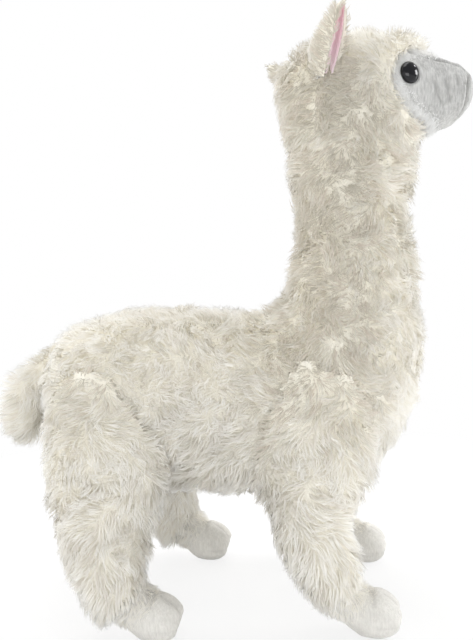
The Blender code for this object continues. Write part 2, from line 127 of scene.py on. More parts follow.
class Nodes:
    """The node tree of one material, built from expressions."""

    def __init__(self, name: str) -> None:
        """Starts an empty material.

        Args:
            name: The material's name.
        """
        self.material = bpy.data.materials.new(name)
        self.material.use_nodes = True
        self.tree = self.material.node_tree
        self.tree.nodes.clear()
        self.output = self.tree.nodes.new("ShaderNodeOutputMaterial")

    def add(
        self,
        kind: str,
        settings: dict | None = None,
        inputs: dict | None = None,
        out: int | str = 0,
    ) -> Socket:
        """Adds one node.

        Args:
            kind: The node's type.
            settings: Attributes to set first, and "stops" for a ramp.
            inputs: Socket name or number to a value or another socket.
            out: The output that is wanted.

        Returns:
            The chosen output.
        """
        node = self.tree.nodes.new(kind)
        for key, value in (settings or {}).items():
            if key == "stops":
                self._set_stops(node.color_ramp, value)
            else:
                setattr(node, key, value)
        for key, value in (inputs or {}).items():
            if isinstance(value, Socket):
                self.tree.links.new(value.socket, node.inputs[key])
            else:
                node.inputs[key].default_value = value
        return Socket(self, node.outputs[out])

    @staticmethod
    def _set_stops(ramp: bpy.types.ColorRamp, stops: list) -> None:
        """Gives a ramp its stops.

        Args:
            ramp: The ramp of a new node.
            stops: Pairs of a place from 0 to 1 and a colour.
        """
        while len(ramp.elements) > 1:
            ramp.elements.remove(ramp.elements[-1])
        ramp.elements[0].position = stops[0][0]
        ramp.elements[0].color = (*stops[0][1], 1.0)
        for place, colour in stops[1:]:
            ramp.elements.new(place).color = (*colour, 1.0)

    def place(self) -> Socket:
        """Object coordinates."""
        return self.add("ShaderNodeTexCoord", out="Object")

    def own(self, name: str) -> Socket:
        """The share that a mesh keeps at its points under this name."""
        return self.add("ShaderNodeAttribute", {"attribute_name": name}, out="Fac")

    def noise(self, where: Socket, scale: float, detail: float = 2.0) -> Socket:
        """Noise of a given number of features a metre."""
        inputs = {"Vector": where, "Scale": scale, "Detail": detail, "Roughness": 0.55}
        return self.add("ShaderNodeTexNoise", {}, inputs, "Fac")

    def stretched(self, where: Socket, by: tuple) -> Socket:
        """Coordinates scaled along each axis."""
        return self.add("ShaderNodeVectorMath", {"operation": "MULTIPLY"}, {0: where, 1: by})

    def mix(self, share: Socket | float, first: object, second: object) -> Socket:
        """A colour between two colours.

        Args:
            share: 0 for the first and 1 for the second.
            first: A colour or a socket.
            second: A colour or a socket.

        Returns:
            The mixed colour.
        """
        settings = {"data_type": "RGBA", "blend_type": "MIX"}
        inputs = {0: share, 6: self._colour(first), 7: self._colour(second)}
        return self.add("ShaderNodeMix", settings, inputs, 2)

    @staticmethod
    def _colour(value: object) -> object:
        """A colour with its alpha, or the socket as it is."""
        return value if isinstance(value, Socket) else (*value, 1.0)

    def bump(self, height: Socket, distance: float) -> Socket:
        """A normal bent by a height that stands for this distance."""
        inputs = {"Height": height, "Distance": distance, "Strength": 1.0}
        return self.add("ShaderNodeBump", {}, inputs, "Normal")

    def surface(self, inputs: dict, passes: tuple | None = None) -> bpy.types.Material:
        """Ends the tree in a Principled shader.

        Args:
            inputs: The shader's sockets.
            passes: Colour of the light that lamps send through it, or None.

        Returns:
            The material.
        """
        shader = self.add("ShaderNodeBsdfPrincipled", {}, inputs, "BSDF")
        if passes is not None:
            through = self.add("ShaderNodeBsdfTransparent", {}, {"Color": (*passes, 1.0)})
            lamp = self.add("ShaderNodeLightPath", out="Is Shadow Ray")
            shader = self.add("ShaderNodeMixShader", {}, {0: lamp, 1: shader, 2: through})
        self.tree.links.new(shader.socket, self.output.inputs["Surface"])
        return self.material


# Finishes


@dataclass(frozen=True)
class PileFinish:
    """Fibres of the long pile: their colour runs from root to tip and with each fibre's tone."""

    name: str = "long_pile"
    root: tuple = (0.91, 0.865, 0.775)
    middle: tuple = (0.945, 0.92, 0.84)
    tip: tuple = (0.97, 0.96, 0.93)
    # shades: darker colours by tone, which also carry the painted shade that the place adds
    shades: tuple = (
        (0.0, (0.565, 0.545, 0.465)),
        (0.2, (0.625, 0.55, 0.465)),
        (0.4, (0.565, 0.555, 0.465)),
        (0.6, (0.63, 0.56, 0.48)),
        (0.8, (0.58, 0.56, 0.48)),
    )
    passes: tuple = (0.86, 0.84, 0.78)
    places: tuple = (0.0, 0.35, 0.9)
    roughness: float = 0.62

    def build(self) -> bpy.types.Material:
        """Reads the fibre's own map: tone across and root to tip along.

        Returns:
            The material.
        """
        nodes = Nodes(self.name)
        own = nodes.add("ShaderNodeUVMap", {"uv_map": PILE_MAP})
        tone = nodes.add("ShaderNodeSeparateXYZ", {}, {0: own}, 0)
        along = nodes.add("ShaderNodeSeparateXYZ", {}, {0: own}, 1)
        stops = list(zip(self.places, (self.root, self.middle, self.tip)))
        colour = nodes.add("ShaderNodeValToRGB", {"stops": stops}, {"Fac": along})
        shade = nodes.add("ShaderNodeValToRGB", {"stops": list(self.shades)}, {"Fac": tone})
        colour = nodes.mix((1 - tone).clamped(), colour, shade)
        return nodes.surface(
            {
                "Base Color": colour,
                "Roughness": self.roughness,
                "Specular IOR Level": 0.15,
                "Sheen Weight": 1.0,
                "Sheen Roughness": 0.35,
            },
            self.passes,
        )


@dataclass(frozen=True)
class BackingFinish:
    """The dense lower pile that shows between the long fibres."""

    name: str = "under_pile"
    light: tuple = (0.93, 0.905, 0.82)
    dark: tuple = (0.84, 0.805, 0.70)
    bends: float = 60.0
    bend: float = 0.03
    strands: float = 900.0
    clumps: float = 90.0
    stretch: tuple = (1.0, 1.0, 0.28)
    weights: tuple = (0.6, 0.9)
    level: float = 0.35
    depth: float = 0.0012

    def build(self) -> bpy.types.Material:
        """Streaks it along the fibres, which mostly hang down.

        Returns:
            The material.
        """
        nodes = Nodes(self.name)
        where = nodes.place()
        inputs = {"Vector": where, "Scale": self.bends}
        warp = nodes.add("ShaderNodeTexNoise", {}, inputs, "Color")
        shift = nodes.add("ShaderNodeVectorMath", {"operation": "SCALE"}, {0: warp, 3: self.bend})
        bent = nodes.add("ShaderNodeVectorMath", {"operation": "ADD"}, {0: where, 1: shift})
        streaks = nodes.noise(nodes.stretched(bent, self.stretch), self.strands, 3.0)
        locks = nodes.noise(bent, self.clumps, 2.0)
        height = streaks * self.weights[0] + locks * self.weights[1]
        colour = nodes.mix((height - self.level).clamped(), self.dark, self.light)
        return nodes.surface(
            {
                "Base Color": colour,
                "Roughness": 0.9,
                "Sheen Weight": 0.3,
                "Normal": nodes.bump(height, self.depth),
            }
        )


@dataclass(frozen=True)
class ShortPileFinish:
    """Brushed short pile with a fine grain, as on the face and feet or in the ears.

    Where it has far colours, they run up the piece between two heights, or lie away from the
    long pile where the mesh keeps its distance from it. The weights are those of the patches,
    of the fine grain and of the brushed grain, and ragged is how uneven that change is.
    """

    name: str
    light: tuple
    dark: tuple
    far_light: tuple | None = None
    far_dark: tuple | None = None
    span: tuple | None = None
    # sewn: the colour of the painted shade along seams, grooves and folds
    sewn: tuple | None = None
    grain: float = 1500.0
    depth: float = 0.0007
    sheen: float = 0.3
    contrast: float = 2.2
    patches: float = 75.0
    weights: tuple = (0.5, 0.35, 1.15)
    brushed: float = 0.45
    stretch: tuple = (1.0, 1.0, 0.2)
    widened: float = 1.3
    ragged: tuple = (0.9, 0.8)

    def build(self) -> bpy.types.Material:
        """Lays fine fibres over soft patches where the pile lies differently.

        Returns:
            The material.
        """
        nodes = Nodes(self.name)
        where = nodes.place()
        fine = nodes.noise(where, self.grain, 3.0)
        scale = self.grain * self.brushed
        brushed = nodes.noise(nodes.stretched(where, self.stretch), scale, 2.0)
        patches = nodes.noise(where, self.patches, 3.0)
        broad, tiny, long = self.weights
        mixed = patches * broad + fine * tiny + brushed * long
        share = ((mixed - sum(self.weights) / 2) * self.contrast + 0.5).clamped()
        colour = nodes.mix(share, self.dark, self.light)
        if self.far_light is not None:
            far = nodes.mix(share, self.far_dark, self.far_light)
            colour = nodes.mix(self.far(nodes, where, patches), colour, far)
        # painted shade in the seams and grooves, by the share that the mesh keeps at each point
        if self.sewn is not None:
            colour = nodes.mix(nodes.own(PAINTED_SEAM_SHADE).clamped(), colour, self.sewn)
        return nodes.surface(
            {
                "Base Color": colour,
                "Roughness": 0.85 + fine * 0.1,
                "Sheen Weight": self.sheen,
                "Sheen Roughness": 0.4,
                "Normal": nodes.bump(fine + brushed * 0.9, self.depth),
            }
        )

    def far(self, nodes: Nodes, where: Socket, patches: Socket) -> Socket:
        """How much of the far colours each place has, made uneven by the patches.

        Args:
            nodes: The material's nodes.
            where: Object coordinates.
            patches: Noise of the patches.

        Returns:
            A share from 0 to 1.
        """
        by_edge, by_height = self.ragged
        if self.span is None:
            edge = nodes.own(EDGE) * self.widened - (self.widened - 1) / 2
            return (edge + (patches - 0.5) * by_edge).clamped()
        height = nodes.add("ShaderNodeSeparateXYZ", {}, {0: where}, 2)
        low, high = self.span
        return ((height - low) / (high - low) + (patches - 0.5) * by_height).clamped()


# the short pile of the feet; its last colour is the painted shade in their grooves
WHITE_CLOTH = ShortPileFinish(
    "short_pile_white", (0.83, 0.815, 0.775), (0.71, 0.695, 0.655), sewn=(0.38, 0.37, 0.35)
)
FACE_CLOTH = ShortPileFinish(
    "short_pile_face",
    (0.90, 0.90, 0.885),
    (0.80, 0.80, 0.79),
    (0.63, 0.63, 0.615),
    (0.43, 0.43, 0.42),
    # painted shade in the gusset's seam, the nostril and the folds
    sewn=(0.27, 0.265, 0.255),
)
PINK_CLOTH = ShortPileFinish(
    "short_pile_pink",
    (0.93, 0.80, 0.84),
    (0.87, 0.71, 0.77),
    (0.84, 0.53, 0.58),
    (0.76, 0.44, 0.50),
    span=(0.428, 0.468),
    grain=2200.0,
)
CHEEK_FLUFF = PileFinish(
    "fluffed_edge",
    (0.92, 0.925, 0.915),
    (0.94, 0.945, 0.94),
    (0.96, 0.965, 0.96),
    shades=((0.0, (0.87, 0.875, 0.87)),),
    passes=(0.9, 0.9, 0.89),
)
ANKLE_FLUFF = PileFinish("fluffed_ankle", shades=((0.0, (0.82, 0.80, 0.75)),))


@dataclass(frozen=True)
class GlossFinish:
    """Polished black plastic of the eyes."""

    name: str = "polished_black"
    colour: tuple = (0.006, 0.006, 0.008)
    marks: float = 700.0
    least_mark: float = 0.55
    polished: float = 0.04
    rubbed: float = 0.25

    def build(self) -> bpy.types.Material:
        """Puts a few faint rub marks in the gloss.

        Returns:
            The material.
        """
        nodes = Nodes(self.name)
        marks = nodes.noise(nodes.place(), self.marks, 4.0)
        return nodes.surface(
            {
                "Base Color": (*self.colour, 1.0),
                "Roughness": self.polished + (marks - self.least_mark).clamped() * self.rubbed,
                "Specular IOR Level": 0.4,
            }
        )


@dataclass(frozen=True)
class MouldedFinish:
    """White moulded plastic of the washers behind the eyes."""

    name: str = "moulded_white"
    colour: tuple = (0.78, 0.78, 0.76)
    grain: float = 1800.0
    depth: float = 0.0001

    def build(self) -> bpy.types.Material:
        """Gives it the faint grain of the mould.

        Returns:
            The material.
        """
        nodes = Nodes(self.name)
        grain = nodes.noise(nodes.place(), self.grain)
        return nodes.surface(
            {
                "Base Color": (*self.colour, 1.0),
                "Roughness": 0.45 + grain * 0.1,
                "Normal": nodes.bump(grain, self.depth),
            }
        )


@dataclass(frozen=True)
class FloorFinish:
    """A white studio floor that fades into the background but keeps soft shadows."""

    name: str = "studio_floor"
    colour: tuple = (0.93, 0.93, 0.93)
    shadow: float = 0.2
    near: float = 0.25
    far: float = 0.65

    def build(self) -> bpy.types.Material:
        """Makes what the camera sees white, with a share of the shadow.

        Returns:
            The material.
        """
        nodes = Nodes(self.name)
        path = nodes.add("ShaderNodeLightPath", out="Is Camera Ray")
        glossy = nodes.add("ShaderNodeLightPath", out="Is Glossy Ray")
        cloth = nodes.add("ShaderNodeBsdfDiffuse", {}, {"Color": (*self.colour, 1.0)})
        white = nodes.add("ShaderNodeEmission", {}, {"Color": (1, 1, 1, 1), "Strength": 1.0})
        length = {"operation": "LENGTH"}
        out = nodes.add("ShaderNodeVectorMath", length, {0: nodes.place()}, "Value")
        fade = ((out - self.near) / (self.far - self.near)).clamped()
        share = (path + glossy).clamped() * (fade * self.shadow + (1 - self.shadow))
        mixed = nodes.add("ShaderNodeMixShader", {}, {0: share, 1: cloth, 2: white})
        nodes.tree.links.new(mixed.socket, nodes.output.inputs["Surface"])
        return nodes.material


# Surfaces as arrays


@dataclass
class Surface:
    """A closed mesh of triangles or quads held as arrays."""

    points: np.ndarray
    faces: np.ndarray

    @classmethod
    def of_node(cls, name: str) -> "Surface":
        """The triangles of a CAD node, with points at one place made one.

        Args:
            name: The node.

        Returns:
            Its closed surface.
        """
        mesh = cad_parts[name].data
        points = np.empty(len(mesh.vertices) * 3)
        mesh.vertices.foreach_get("co", points)
        mesh.calc_loop_triangles()
        faces = np.empty(len(mesh.loop_triangles) * 3, int)
        mesh.loop_triangles.foreach_get("vertices", faces)
        keys = np.round(points.reshape(-1, 3) / WELD).astype(int)
        _, first, index = np.unique(keys, axis=0, return_index=True, return_inverse=True)
        faces = index.reshape(-1)[faces].reshape(-1, 3)
        kept = (faces[:, 0] != faces[:, 1]) & (faces[:, 1] != faces[:, 2])
        kept &= faces[:, 0] != faces[:, 2]
        return cls(points.reshape(-1, 3)[first], faces[kept])

    def triangles(self) -> np.ndarray:
        """The faces as triangles: a quad is halved along its first diagonal.

        Returns:
            Corners by triangle.
        """
        if self.faces.shape[1] == 3:
            return self.faces
        return np.vstack([self.faces[:, [0, 1, 2]], self.faces[:, [0, 2, 3]]])

    def normals(self) -> np.ndarray:
        """Outward normal of each point: the sum of its triangles' cross products, made unit.

        Returns:
            Normals by point.
        """
        tris = self.triangles()
        corner = self.points[tris]
        spread = np.cross(corner[:, 1] - corner[:, 0], corner[:, 2] - corner[:, 0])
        total = np.zeros_like(self.points)
        for k in range(3):
            for axis in range(3):
                total[:, axis] += np.bincount(
                    tris[:, k], spread[:, axis], minlength=len(total)
                )
        return total / np.maximum(np.linalg.norm(total, axis=1), 1e-12)[:, None]

    def smoothed(self, rounds: int, shrink_guard: float = -0.53) -> "Surface":
        """Points moved half way to the mean of their neighbours and then back, in turns.

        Args:
            rounds: How many times there and back.
            shrink_guard: The share of the way back, which keeps the solid's size.

        Returns:
            The smoothed surface.
        """
        count = self.faces.shape[1]
        ends = np.vstack(
            [self.faces[:, [k, (k + 1) % count]] for k in range(count)]
            + [self.faces[:, [(k + 1) % count, k]] for k in range(count)]
        )
        ends = np.unique(ends, axis=0)
        degree = np.bincount(ends[:, 0], minlength=len(self.points))[:, None]
        points = self.points.copy()
        for turn in range(2 * rounds):
            mean = np.stack(
                [
                    np.bincount(ends[:, 0], points[ends[:, 1], axis], minlength=len(points))
                    for axis in range(3)
                ],
                axis=1,
            ) / np.maximum(degree, 1)
            points += (0.5 if turn % 2 == 0 else shrink_guard) * (mean - points)
        return Surface(points, self.faces)

    def remeshed(self, size: float) -> "Surface":
        """An even skin of quads over the same solid, by a voxel remesh.

        Args:
            size: Edge of a quad.

        Returns:
            The skin.
        """
        holder = bpy.data.objects.new("remesh", self.to_mesh("remesh"))
        bpy.context.scene.collection.objects.link(holder)
        skin = holder.modifiers.new("skin", "REMESH")
        skin.mode = "VOXEL"
        skin.voxel_size = size
        graph = bpy.context.evaluated_depsgraph_get()
        mesh = holder.evaluated_get(graph).to_mesh()
        points = np.empty(len(mesh.vertices) * 3)
        mesh.vertices.foreach_get("co", points)
        faces = np.empty(len(mesh.polygons) * 4, int)
        mesh.loops.foreach_get("vertex_index", faces)
        made = Surface(points.reshape(-1, 3), faces.reshape(-1, 4))
        base = holder.data
        bpy.data.objects.remove(holder)
        bpy.data.meshes.remove(base)
        return made.largest()

    def largest(self) -> "Surface":
        """Only the biggest connected shell, found by spreading the lowest label.

        Returns:
            That shell.
        """
        label = np.arange(len(self.points))
        while True:
            low = label[self.faces].min(axis=1)
            before = label.copy()
            for k in range(self.faces.shape[1]):
                np.minimum.at(label, self.faces[:, k], low)
            label = label[label]
            if (label == before).all():
                break
        shell = np.bincount(label[self.faces[:, 0]]).argmax()
        faces = self.faces[label[self.faces[:, 0]] == shell]
        used = np.unique(faces)
        index = np.zeros(len(self.points), int)
        index[used] = np.arange(len(used))
        return Surface(self.points[used], index[faces])

    def bvh(self) -> BVHTree:
        """A search tree over the triangles."""
        return BVHTree.FromPolygons(self.points.tolist(), self.triangles().tolist())

    def shrunk(self, depth: float | np.ndarray) -> tuple["Surface", np.ndarray]:
        """The skin moved inward by depth, or by a third of the wall where that is thin.

        Args:
            depth: How far to move where the solid is thick, once or for each point.

        Returns:
            The moved skin and how far each point went.
        """
        start, thick, third = 0.4 * MM, 50 * MM, 0.3
        normals = self.normals()
        tree = self.bvh()
        wall = np.empty(len(self.points))
        for i, (p, n) in enumerate(zip(self.points, normals)):
            inward = Vector(-n)
            hit = tree.ray_cast(Vector(p) + inward * start, inward)
            wall[i] = hit[3] if hit[3] is not None else thick
        moved = np.minimum(depth, third * wall)
        level = Surface(np.stack([moved, moved, moved], axis=1), self.faces)
        moved = level.smoothed(4, 0.5).points[:, 0]
        return Surface(self.points - normals * moved[:, None], self.faces), moved

    def to_mesh(self, name: str) -> bpy.types.Mesh:
        """A Blender mesh of the arrays, shaded as one round surface.

        Args:
            name: The mesh's name.

        Returns:
            The mesh.
        """
        mesh = bpy.data.meshes.new(name)
        count, corners = self.faces.shape
        mesh.vertices.add(len(self.points))
        mesh.vertices.foreach_set("co", self.points.astype(np.float32).ravel())
        mesh.loops.add(count * corners)
        mesh.loops.foreach_set("vertex_index", self.faces.astype(np.int32).ravel())
        mesh.polygons.add(count)
        mesh.polygons.foreach_set("loop_start", np.arange(0, count * corners, corners))
        mesh.polygons.foreach_set("use_smooth", np.full(count, True))
        mesh.update()
        mesh.validate()
        return mesh

    def to_piece(self, name: str, finish: bpy.types.Material, slot: str) -> bpy.types.Object:
        """An object of the toy that rides on its body.

        Args:
            name: The piece's name.
            finish: Its material.
            slot: Not used.

        Returns:
            The object.
        """
        piece = bpy.data.objects.new(name, self.to_mesh(name))
        piece.data.materials.append(finish)
        bpy.context.scene.collection.objects.link(piece)
        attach(piece, BODY)
        return piece


def unit(vectors: np.ndarray) -> np.ndarray:
    """Vectors over their own lengths."""
    return vectors / np.maximum(np.linalg.norm(vectors, axis=-1, keepdims=True), 1e-12)


def rise(values: np.ndarray, start: float, full: float) -> np.ndarray:
    """0 up to start and 1 from full on: the cubic 3t^2 - 2t^3 between them."""
    t = np.clip((values - start) / (full - start), 0.0, 1.0)
    return t * t * (3 - 2 * t)


def nearest_of(points: np.ndarray, centres: np.ndarray) -> np.ndarray:
    """The nearest centre to each point, where |c|^2 - 2 p.c is least, worked out in blocks.

    Args:
        points: Places.
        centres: The centres to choose from.

    Returns:
        A number of a centre for each point.
    """
    block = 4096
    found = np.empty(len(points), int)
    square = (centres**2).sum(axis=1)
    for start in range(0, len(points), block):
        some = slice(start, start + block)
        found[some] = (square - 2 * points[some] @ centres.T).argmin(axis=1)
    return found


def holds(tree: BVHTree, point: Vector) -> bool:
    """Whether a closed surface holds a point: a ray from it meets the skin an odd number of times.

    Args:
        tree: The surface.
        point: The point.

    Returns:
        True inside it.
    """
    way, past, met = Vector((0.31, 0.87, 0.38)), 0.01 * MM, 0
    hit = tree.ray_cast(point, way)
    while hit[0] is not None:
        met += 1
        hit = tree.ray_cast(hit[0] + way * past, way)
    return met % 2 == 1


def mark(mesh: bpy.types.Mesh, name: str, share: np.ndarray) -> None:
    """Keeps a share at each point of a mesh under a name, for its finish to read."""
    layer = mesh.attributes.new(name, "FLOAT", "POINT")
    layer.data.foreach_set("value", share.astype(np.float32))


def soft_noise(points: np.ndarray, size: float, seed: int) -> np.ndarray:
    """Smooth noise of about -1 to 1: a sum of sine waves in random directions.

    Args:
        points: Where it is wanted.
        size: The usual length of a wave.
        seed: Chooses the waves.

    Returns:
        A value for each point.
    """
    waves = 10
    rng = np.random.default_rng(seed)
    ways = unit(rng.normal(size=(waves, 3))) * rng.uniform(0.6, 1.5, (waves, 1)) / size
    phases = rng.uniform(0, 2 * math.pi, waves)
    return np.sin(2 * math.pi * points @ ways.T + phases).sum(axis=1) / 3.2


def groove(distance: np.ndarray, width: float) -> np.ndarray:
    """1 on a line and less away from it: exp(-(distance / width)^2)."""
    return np.exp(-((distance / width) ** 2))


# The long pile


@dataclass(frozen=True)
class Brushed:
    """Ways that the pile is brushed: along X, away from the middle plane and along Z."""

    leg: tuple = (-0.12, 0.1, -1.0)
    cheek: tuple = (-1.0, 0.3, -0.25)
    tail: tuple = (-0.55, 0.2, -0.85)
    torso: tuple = (-0.6, 0.35, -0.8)
    neck: tuple = (-0.12, 0.0, -1.0)
    head: tuple = (-0.8, 0.15, -0.55)
    fringe: tuple = (1.0, 0.3, -0.1)
    neck_slope: float = 0.55
    neck_span: tuple = (0.215, 0.27)
    head_span: tuple = (0.37, 0.415)
    fringe_x: tuple = (0.12, 0.145)
    fringe_z: tuple = (0.438, 0.45)

    @staticmethod
    def way(y: np.ndarray, own: tuple) -> np.ndarray:
        """One of the ways at each point, mirrored with the sign of Y."""
        return np.stack([np.full(len(y), own[0]), own[1] * np.sign(y), np.full(len(y), own[2])], 1)

    def body(self, points: np.ndarray) -> np.ndarray:
        """The body's ways, blended from torso to neck, head and fringe by place.

        Args:
            points: The roots.

        Returns:
            Directions, not yet unit.
        """
        x, y, z = points.T
        up = rise(z + self.neck_slope * x, *self.neck_span)[:, None]
        top = rise(z, *self.head_span)[:, None]
        front = (rise(x, *self.fringe_x) * rise(z, *self.fringe_z))[:, None]
        way = self.way(y, self.torso) * (1 - up) + self.way(y, self.neck) * up
        way = way * (1 - top) + self.way(y, self.head) * top
        return way * (1 - front) + self.way(y, self.fringe) * front


@dataclass(frozen=True)
class Toning:
    """How light the fibres are: 1 is the palest, and 0 has the full shade.

    The rump is pale. The neck and head are darker, partly their own tan and partly painted shade.
    Painted shade also lies over the shoulders, at the legs' seams with the body and on the legs'
    tops, and painted light on the front edge of the breast; crown and fringe are pale again.
    Three numbers are how much, and the two places or heights between which it comes in. Slope
    is what a metre of X adds to a height.
    """

    middle: float = 0.78
    patches: float = 0.1
    locks: float = 0.16
    fibres: float = 0.1
    patch_size: float = 60 * MM
    slope: float = 0.3
    # darker up the neck and head: partly the pile's own tan, partly painted shade
    upward_tan_and_shade: tuple = (0.66, 0.18, 0.34)
    # painted shade over the shoulders
    shoulder: float = 0.4
    shoulder_shade_place: tuple = (0.07, 0.205)
    shoulder_shade_size: tuple = (0.06, 0.055)
    # painted light on the front edge of the breast
    painted_chest_light: tuple = (0.34, 0.095, 0.135)
    crown: tuple = (0.5, 0.455, 0.485)
    # painted shade at the legs' seams with the body and on the legs' tops
    leg_seam: float = 0.4
    leg_top: tuple = (0.26, 0.175, 0.225)
    ends: tuple = (0.02, 0.98)

    def by_place(self, roots: np.ndarray, lean: np.ndarray, comb: Comb) -> np.ndarray:
        """What the place adds to a fibre's tone: tan, painted shade and painted light.

        Args:
            roots: Where each fibre starts.
            lean: Towards the seam that a fibre covers.
            comb: The kind of bag.

        Returns:
            An addition for each fibre, often below zero.
        """
        x, height = roots[:, 0], roots[:, 2] + self.slope * roots[:, 0]
        away = ((x - self.shoulder_shade_place[0]) / self.shoulder_shade_size[0]) ** 2
        away = away + ((roots[:, 2] - self.shoulder_shade_place[1]) / self.shoulder_shade_size[1]) ** 2
        # painted light on the front edge of the breast, painted shade over the shoulders
        added = self.painted_chest_light[0] * rise(x, *self.painted_chest_light[1:]) - self.shoulder * np.exp(-away)
        # darker up the neck and head: the pile's own tan and painted shade
        added = added - self.upward_tan_and_shade[0] * rise(height, *self.upward_tan_and_shade[1:])
        if comb is Comb.BODY:
            added = added + self.crown[0] * rise(height, *self.crown[1:])
        # painted shade at the legs' seams with the body and on their tops
        if comb is Comb.LEG:
            added = added - self.leg_seam * np.linalg.norm(lean, axis=1)
            added = added - self.leg_top[0] * rise(roots[:, 2], *self.leg_top[1:])
        return added


@dataclass
class Pile:
    """Long curly pile on a bag: how dense, long and unruly its fibres are.

    Attributes:
        comb: The kind of bag, which says how the pile is brushed.
        density: Fibres in a square metre.
        length: Length of a usual fibre.
        width: Its width at the root.
        tuft: Distance between tufts, whose fibres share a heading.
        lock: Distance between locks, whose tips draw together.
        swirl: How far tufts turn from the brushed direction, in radians.
        curl: How far a fibre turns from root to tip, in radians.
        gather: The share by which a lock draws together at its tips.
        seed: Chooses the random draws.
        steps: Lengths in a fibre.
        axis: The brushed direction of an ear.
        softness: The cloth's share in a fibre's shading normal.
        upright: The least that a shading normal agrees with its own face.
        steepest: Angle over the cloth at the root, in radians.
        flattening: How much of it is lost towards the tip.
        wave: How far broad waves turn the fibres, in radians.
        wave_size: The length of those waves.
        stray: How far single fibres go their own way, in radians.
        tuft_lift: How unevenly tufts stand up, in radians.
        fibre_lift: How unevenly single fibres do.
        blur: How ragged a tuft's edge is, as a share of its size.
        lengths: Shortest and longest fibre, as shares of the usual one.
        tuft_lengths: The same for tufts.
        taper: The share of its width that a fibre loses towards the tip.
        ridge: Height of a fibre's third corner, over half its width.
        core: Height of its core, likewise.
        farthest: The farthest that a tuft turns, in radians.
        by_tuft: A tuft's share in the turn of its fibres.
        by_lock: A lock's curl, over that of its tuft.
        crown: Heights between which the tufts of the crown come to stand up.
        crown_lift: The least and most that they do, in radians.
        shin: Heights between which the pile of a leg stops being smooth.
        calm: The share of turn and curl that the lowest of it has.
        held: The share of turn and curl that a seam takes away.
        laid: How far the fibres over a seam lie down, in radians.
        gather_late: The power by which a lock draws together late along its fibres.
        gather_reach: How far from its middle it reaches, over its size.
        brushed: The brushed directions.
        toning: How light the fibres are, with painted shade and painted light by place.
    """

    comb: Comb
    density: float = 214000.0
    length: float = 14.5 * MM
    width: float = 0.9 * MM
    tuft: float = 17 * MM
    lock: float = 6 * MM
    swirl: float = 1.35
    curl: float = 1.25
    gather: float = 0.32
    seed: int = 1
    steps: int = 2
    axis: tuple = (0.0, 0.0, 1.0)
    softness: float = 0.75
    upright: float = 0.3
    steepest: float = 1.15
    flattening: float = 1.05
    wave: float = 0.6
    wave_size: float = 55 * MM
    stray: float = 0.2
    tuft_lift: float = 0.16
    fibre_lift: float = 0.09
    blur: float = 0.063
    lengths: tuple = (0.82, 1.12)
    tuft_lengths: tuple = (0.86, 1.14)
    taper: float = 0.62
    ridge: float = 1.1
    core: float = 0.4
    farthest: float = 1.9
    by_tuft: float = 0.7
    by_lock: float = 0.45
    crown: tuple = (0.44, 0.455)
    crown_lift: tuple = (-0.1, 0.2)
    shin: tuple = (0.04, 0.12)
    calm: float = 0.35
    held: float = 0.8
    laid: float = 0.25
    gather_late: float = 1.4
    gather_reach: float = 1.6
    brushed: Brushed = Brushed()
    toning: Toning = Toning()

    def flow(self, points: np.ndarray, normals: np.ndarray, lean: np.ndarray) -> np.ndarray:
        """The brushed direction along the cloth at each root.

        A fixed direction for each region, blended by height, with its part along the normal
        taken away.

        Args:
            points: The roots.
            normals: Outward direction there.
            lean: Towards the seam that a fibre covers, as long as the share it turns by.

        Returns:
            Unit directions.
        """
        if self.comb is Comb.BODY:
            way = self.brushed.body(points)
        elif self.comb is Comb.EAR:
            way = np.ones((len(points), 1)) * np.array(self.axis)
        else:
            way = self.brushed.way(points[:, 1], getattr(self.brushed, self.comb.value))
        way = unit(way) * (1 - np.linalg.norm(lean, axis=1, keepdims=True)) + lean
        way = way - (way * normals).sum(axis=1, keepdims=True) * normals
        return unit(way)

    def centre_lines(
        self,
        roots: np.ndarray,
        normals: np.ndarray,
        lean: np.ndarray,
        scale: np.ndarray,
        turn: np.ndarray,
        curl: np.ndarray,
        lift: np.ndarray,
    ) -> np.ndarray:
        """The middle line of each fibre.

        It leaves the cloth at a steep angle that flattens towards the tip, while its heading
        along the cloth turns steadily by its curl.

        Args:
            roots: Where each fibre starts.
            normals: Outward direction there.
            lean: Towards the seam that a fibre covers.
            scale: Length of each fibre.
            turn: Heading away from the brushed direction, in radians.
            curl: Change of heading from root to tip.
            lift: Added to the angle over the cloth.

        Returns:
            Points as an array of fibre, step and axis.
        """
        forward = self.flow(roots, normals, lean)
        across = np.cross(normals, forward)
        lines = [roots]
        for step in range(self.steps):
            share = (step + 0.5) / self.steps
            heading = turn + curl * share**1.2
            angle = np.clip(self.steepest - self.flattening * share + lift, 0.05, 1.4)
            along = forward * np.cos(heading)[:, None] + across * np.sin(heading)[:, None]
            way = along * np.cos(angle)[:, None] + normals * np.sin(angle)[:, None]
            lines.append(lines[-1] + way * (scale / self.steps)[:, None])
        return np.stack(lines, axis=1)

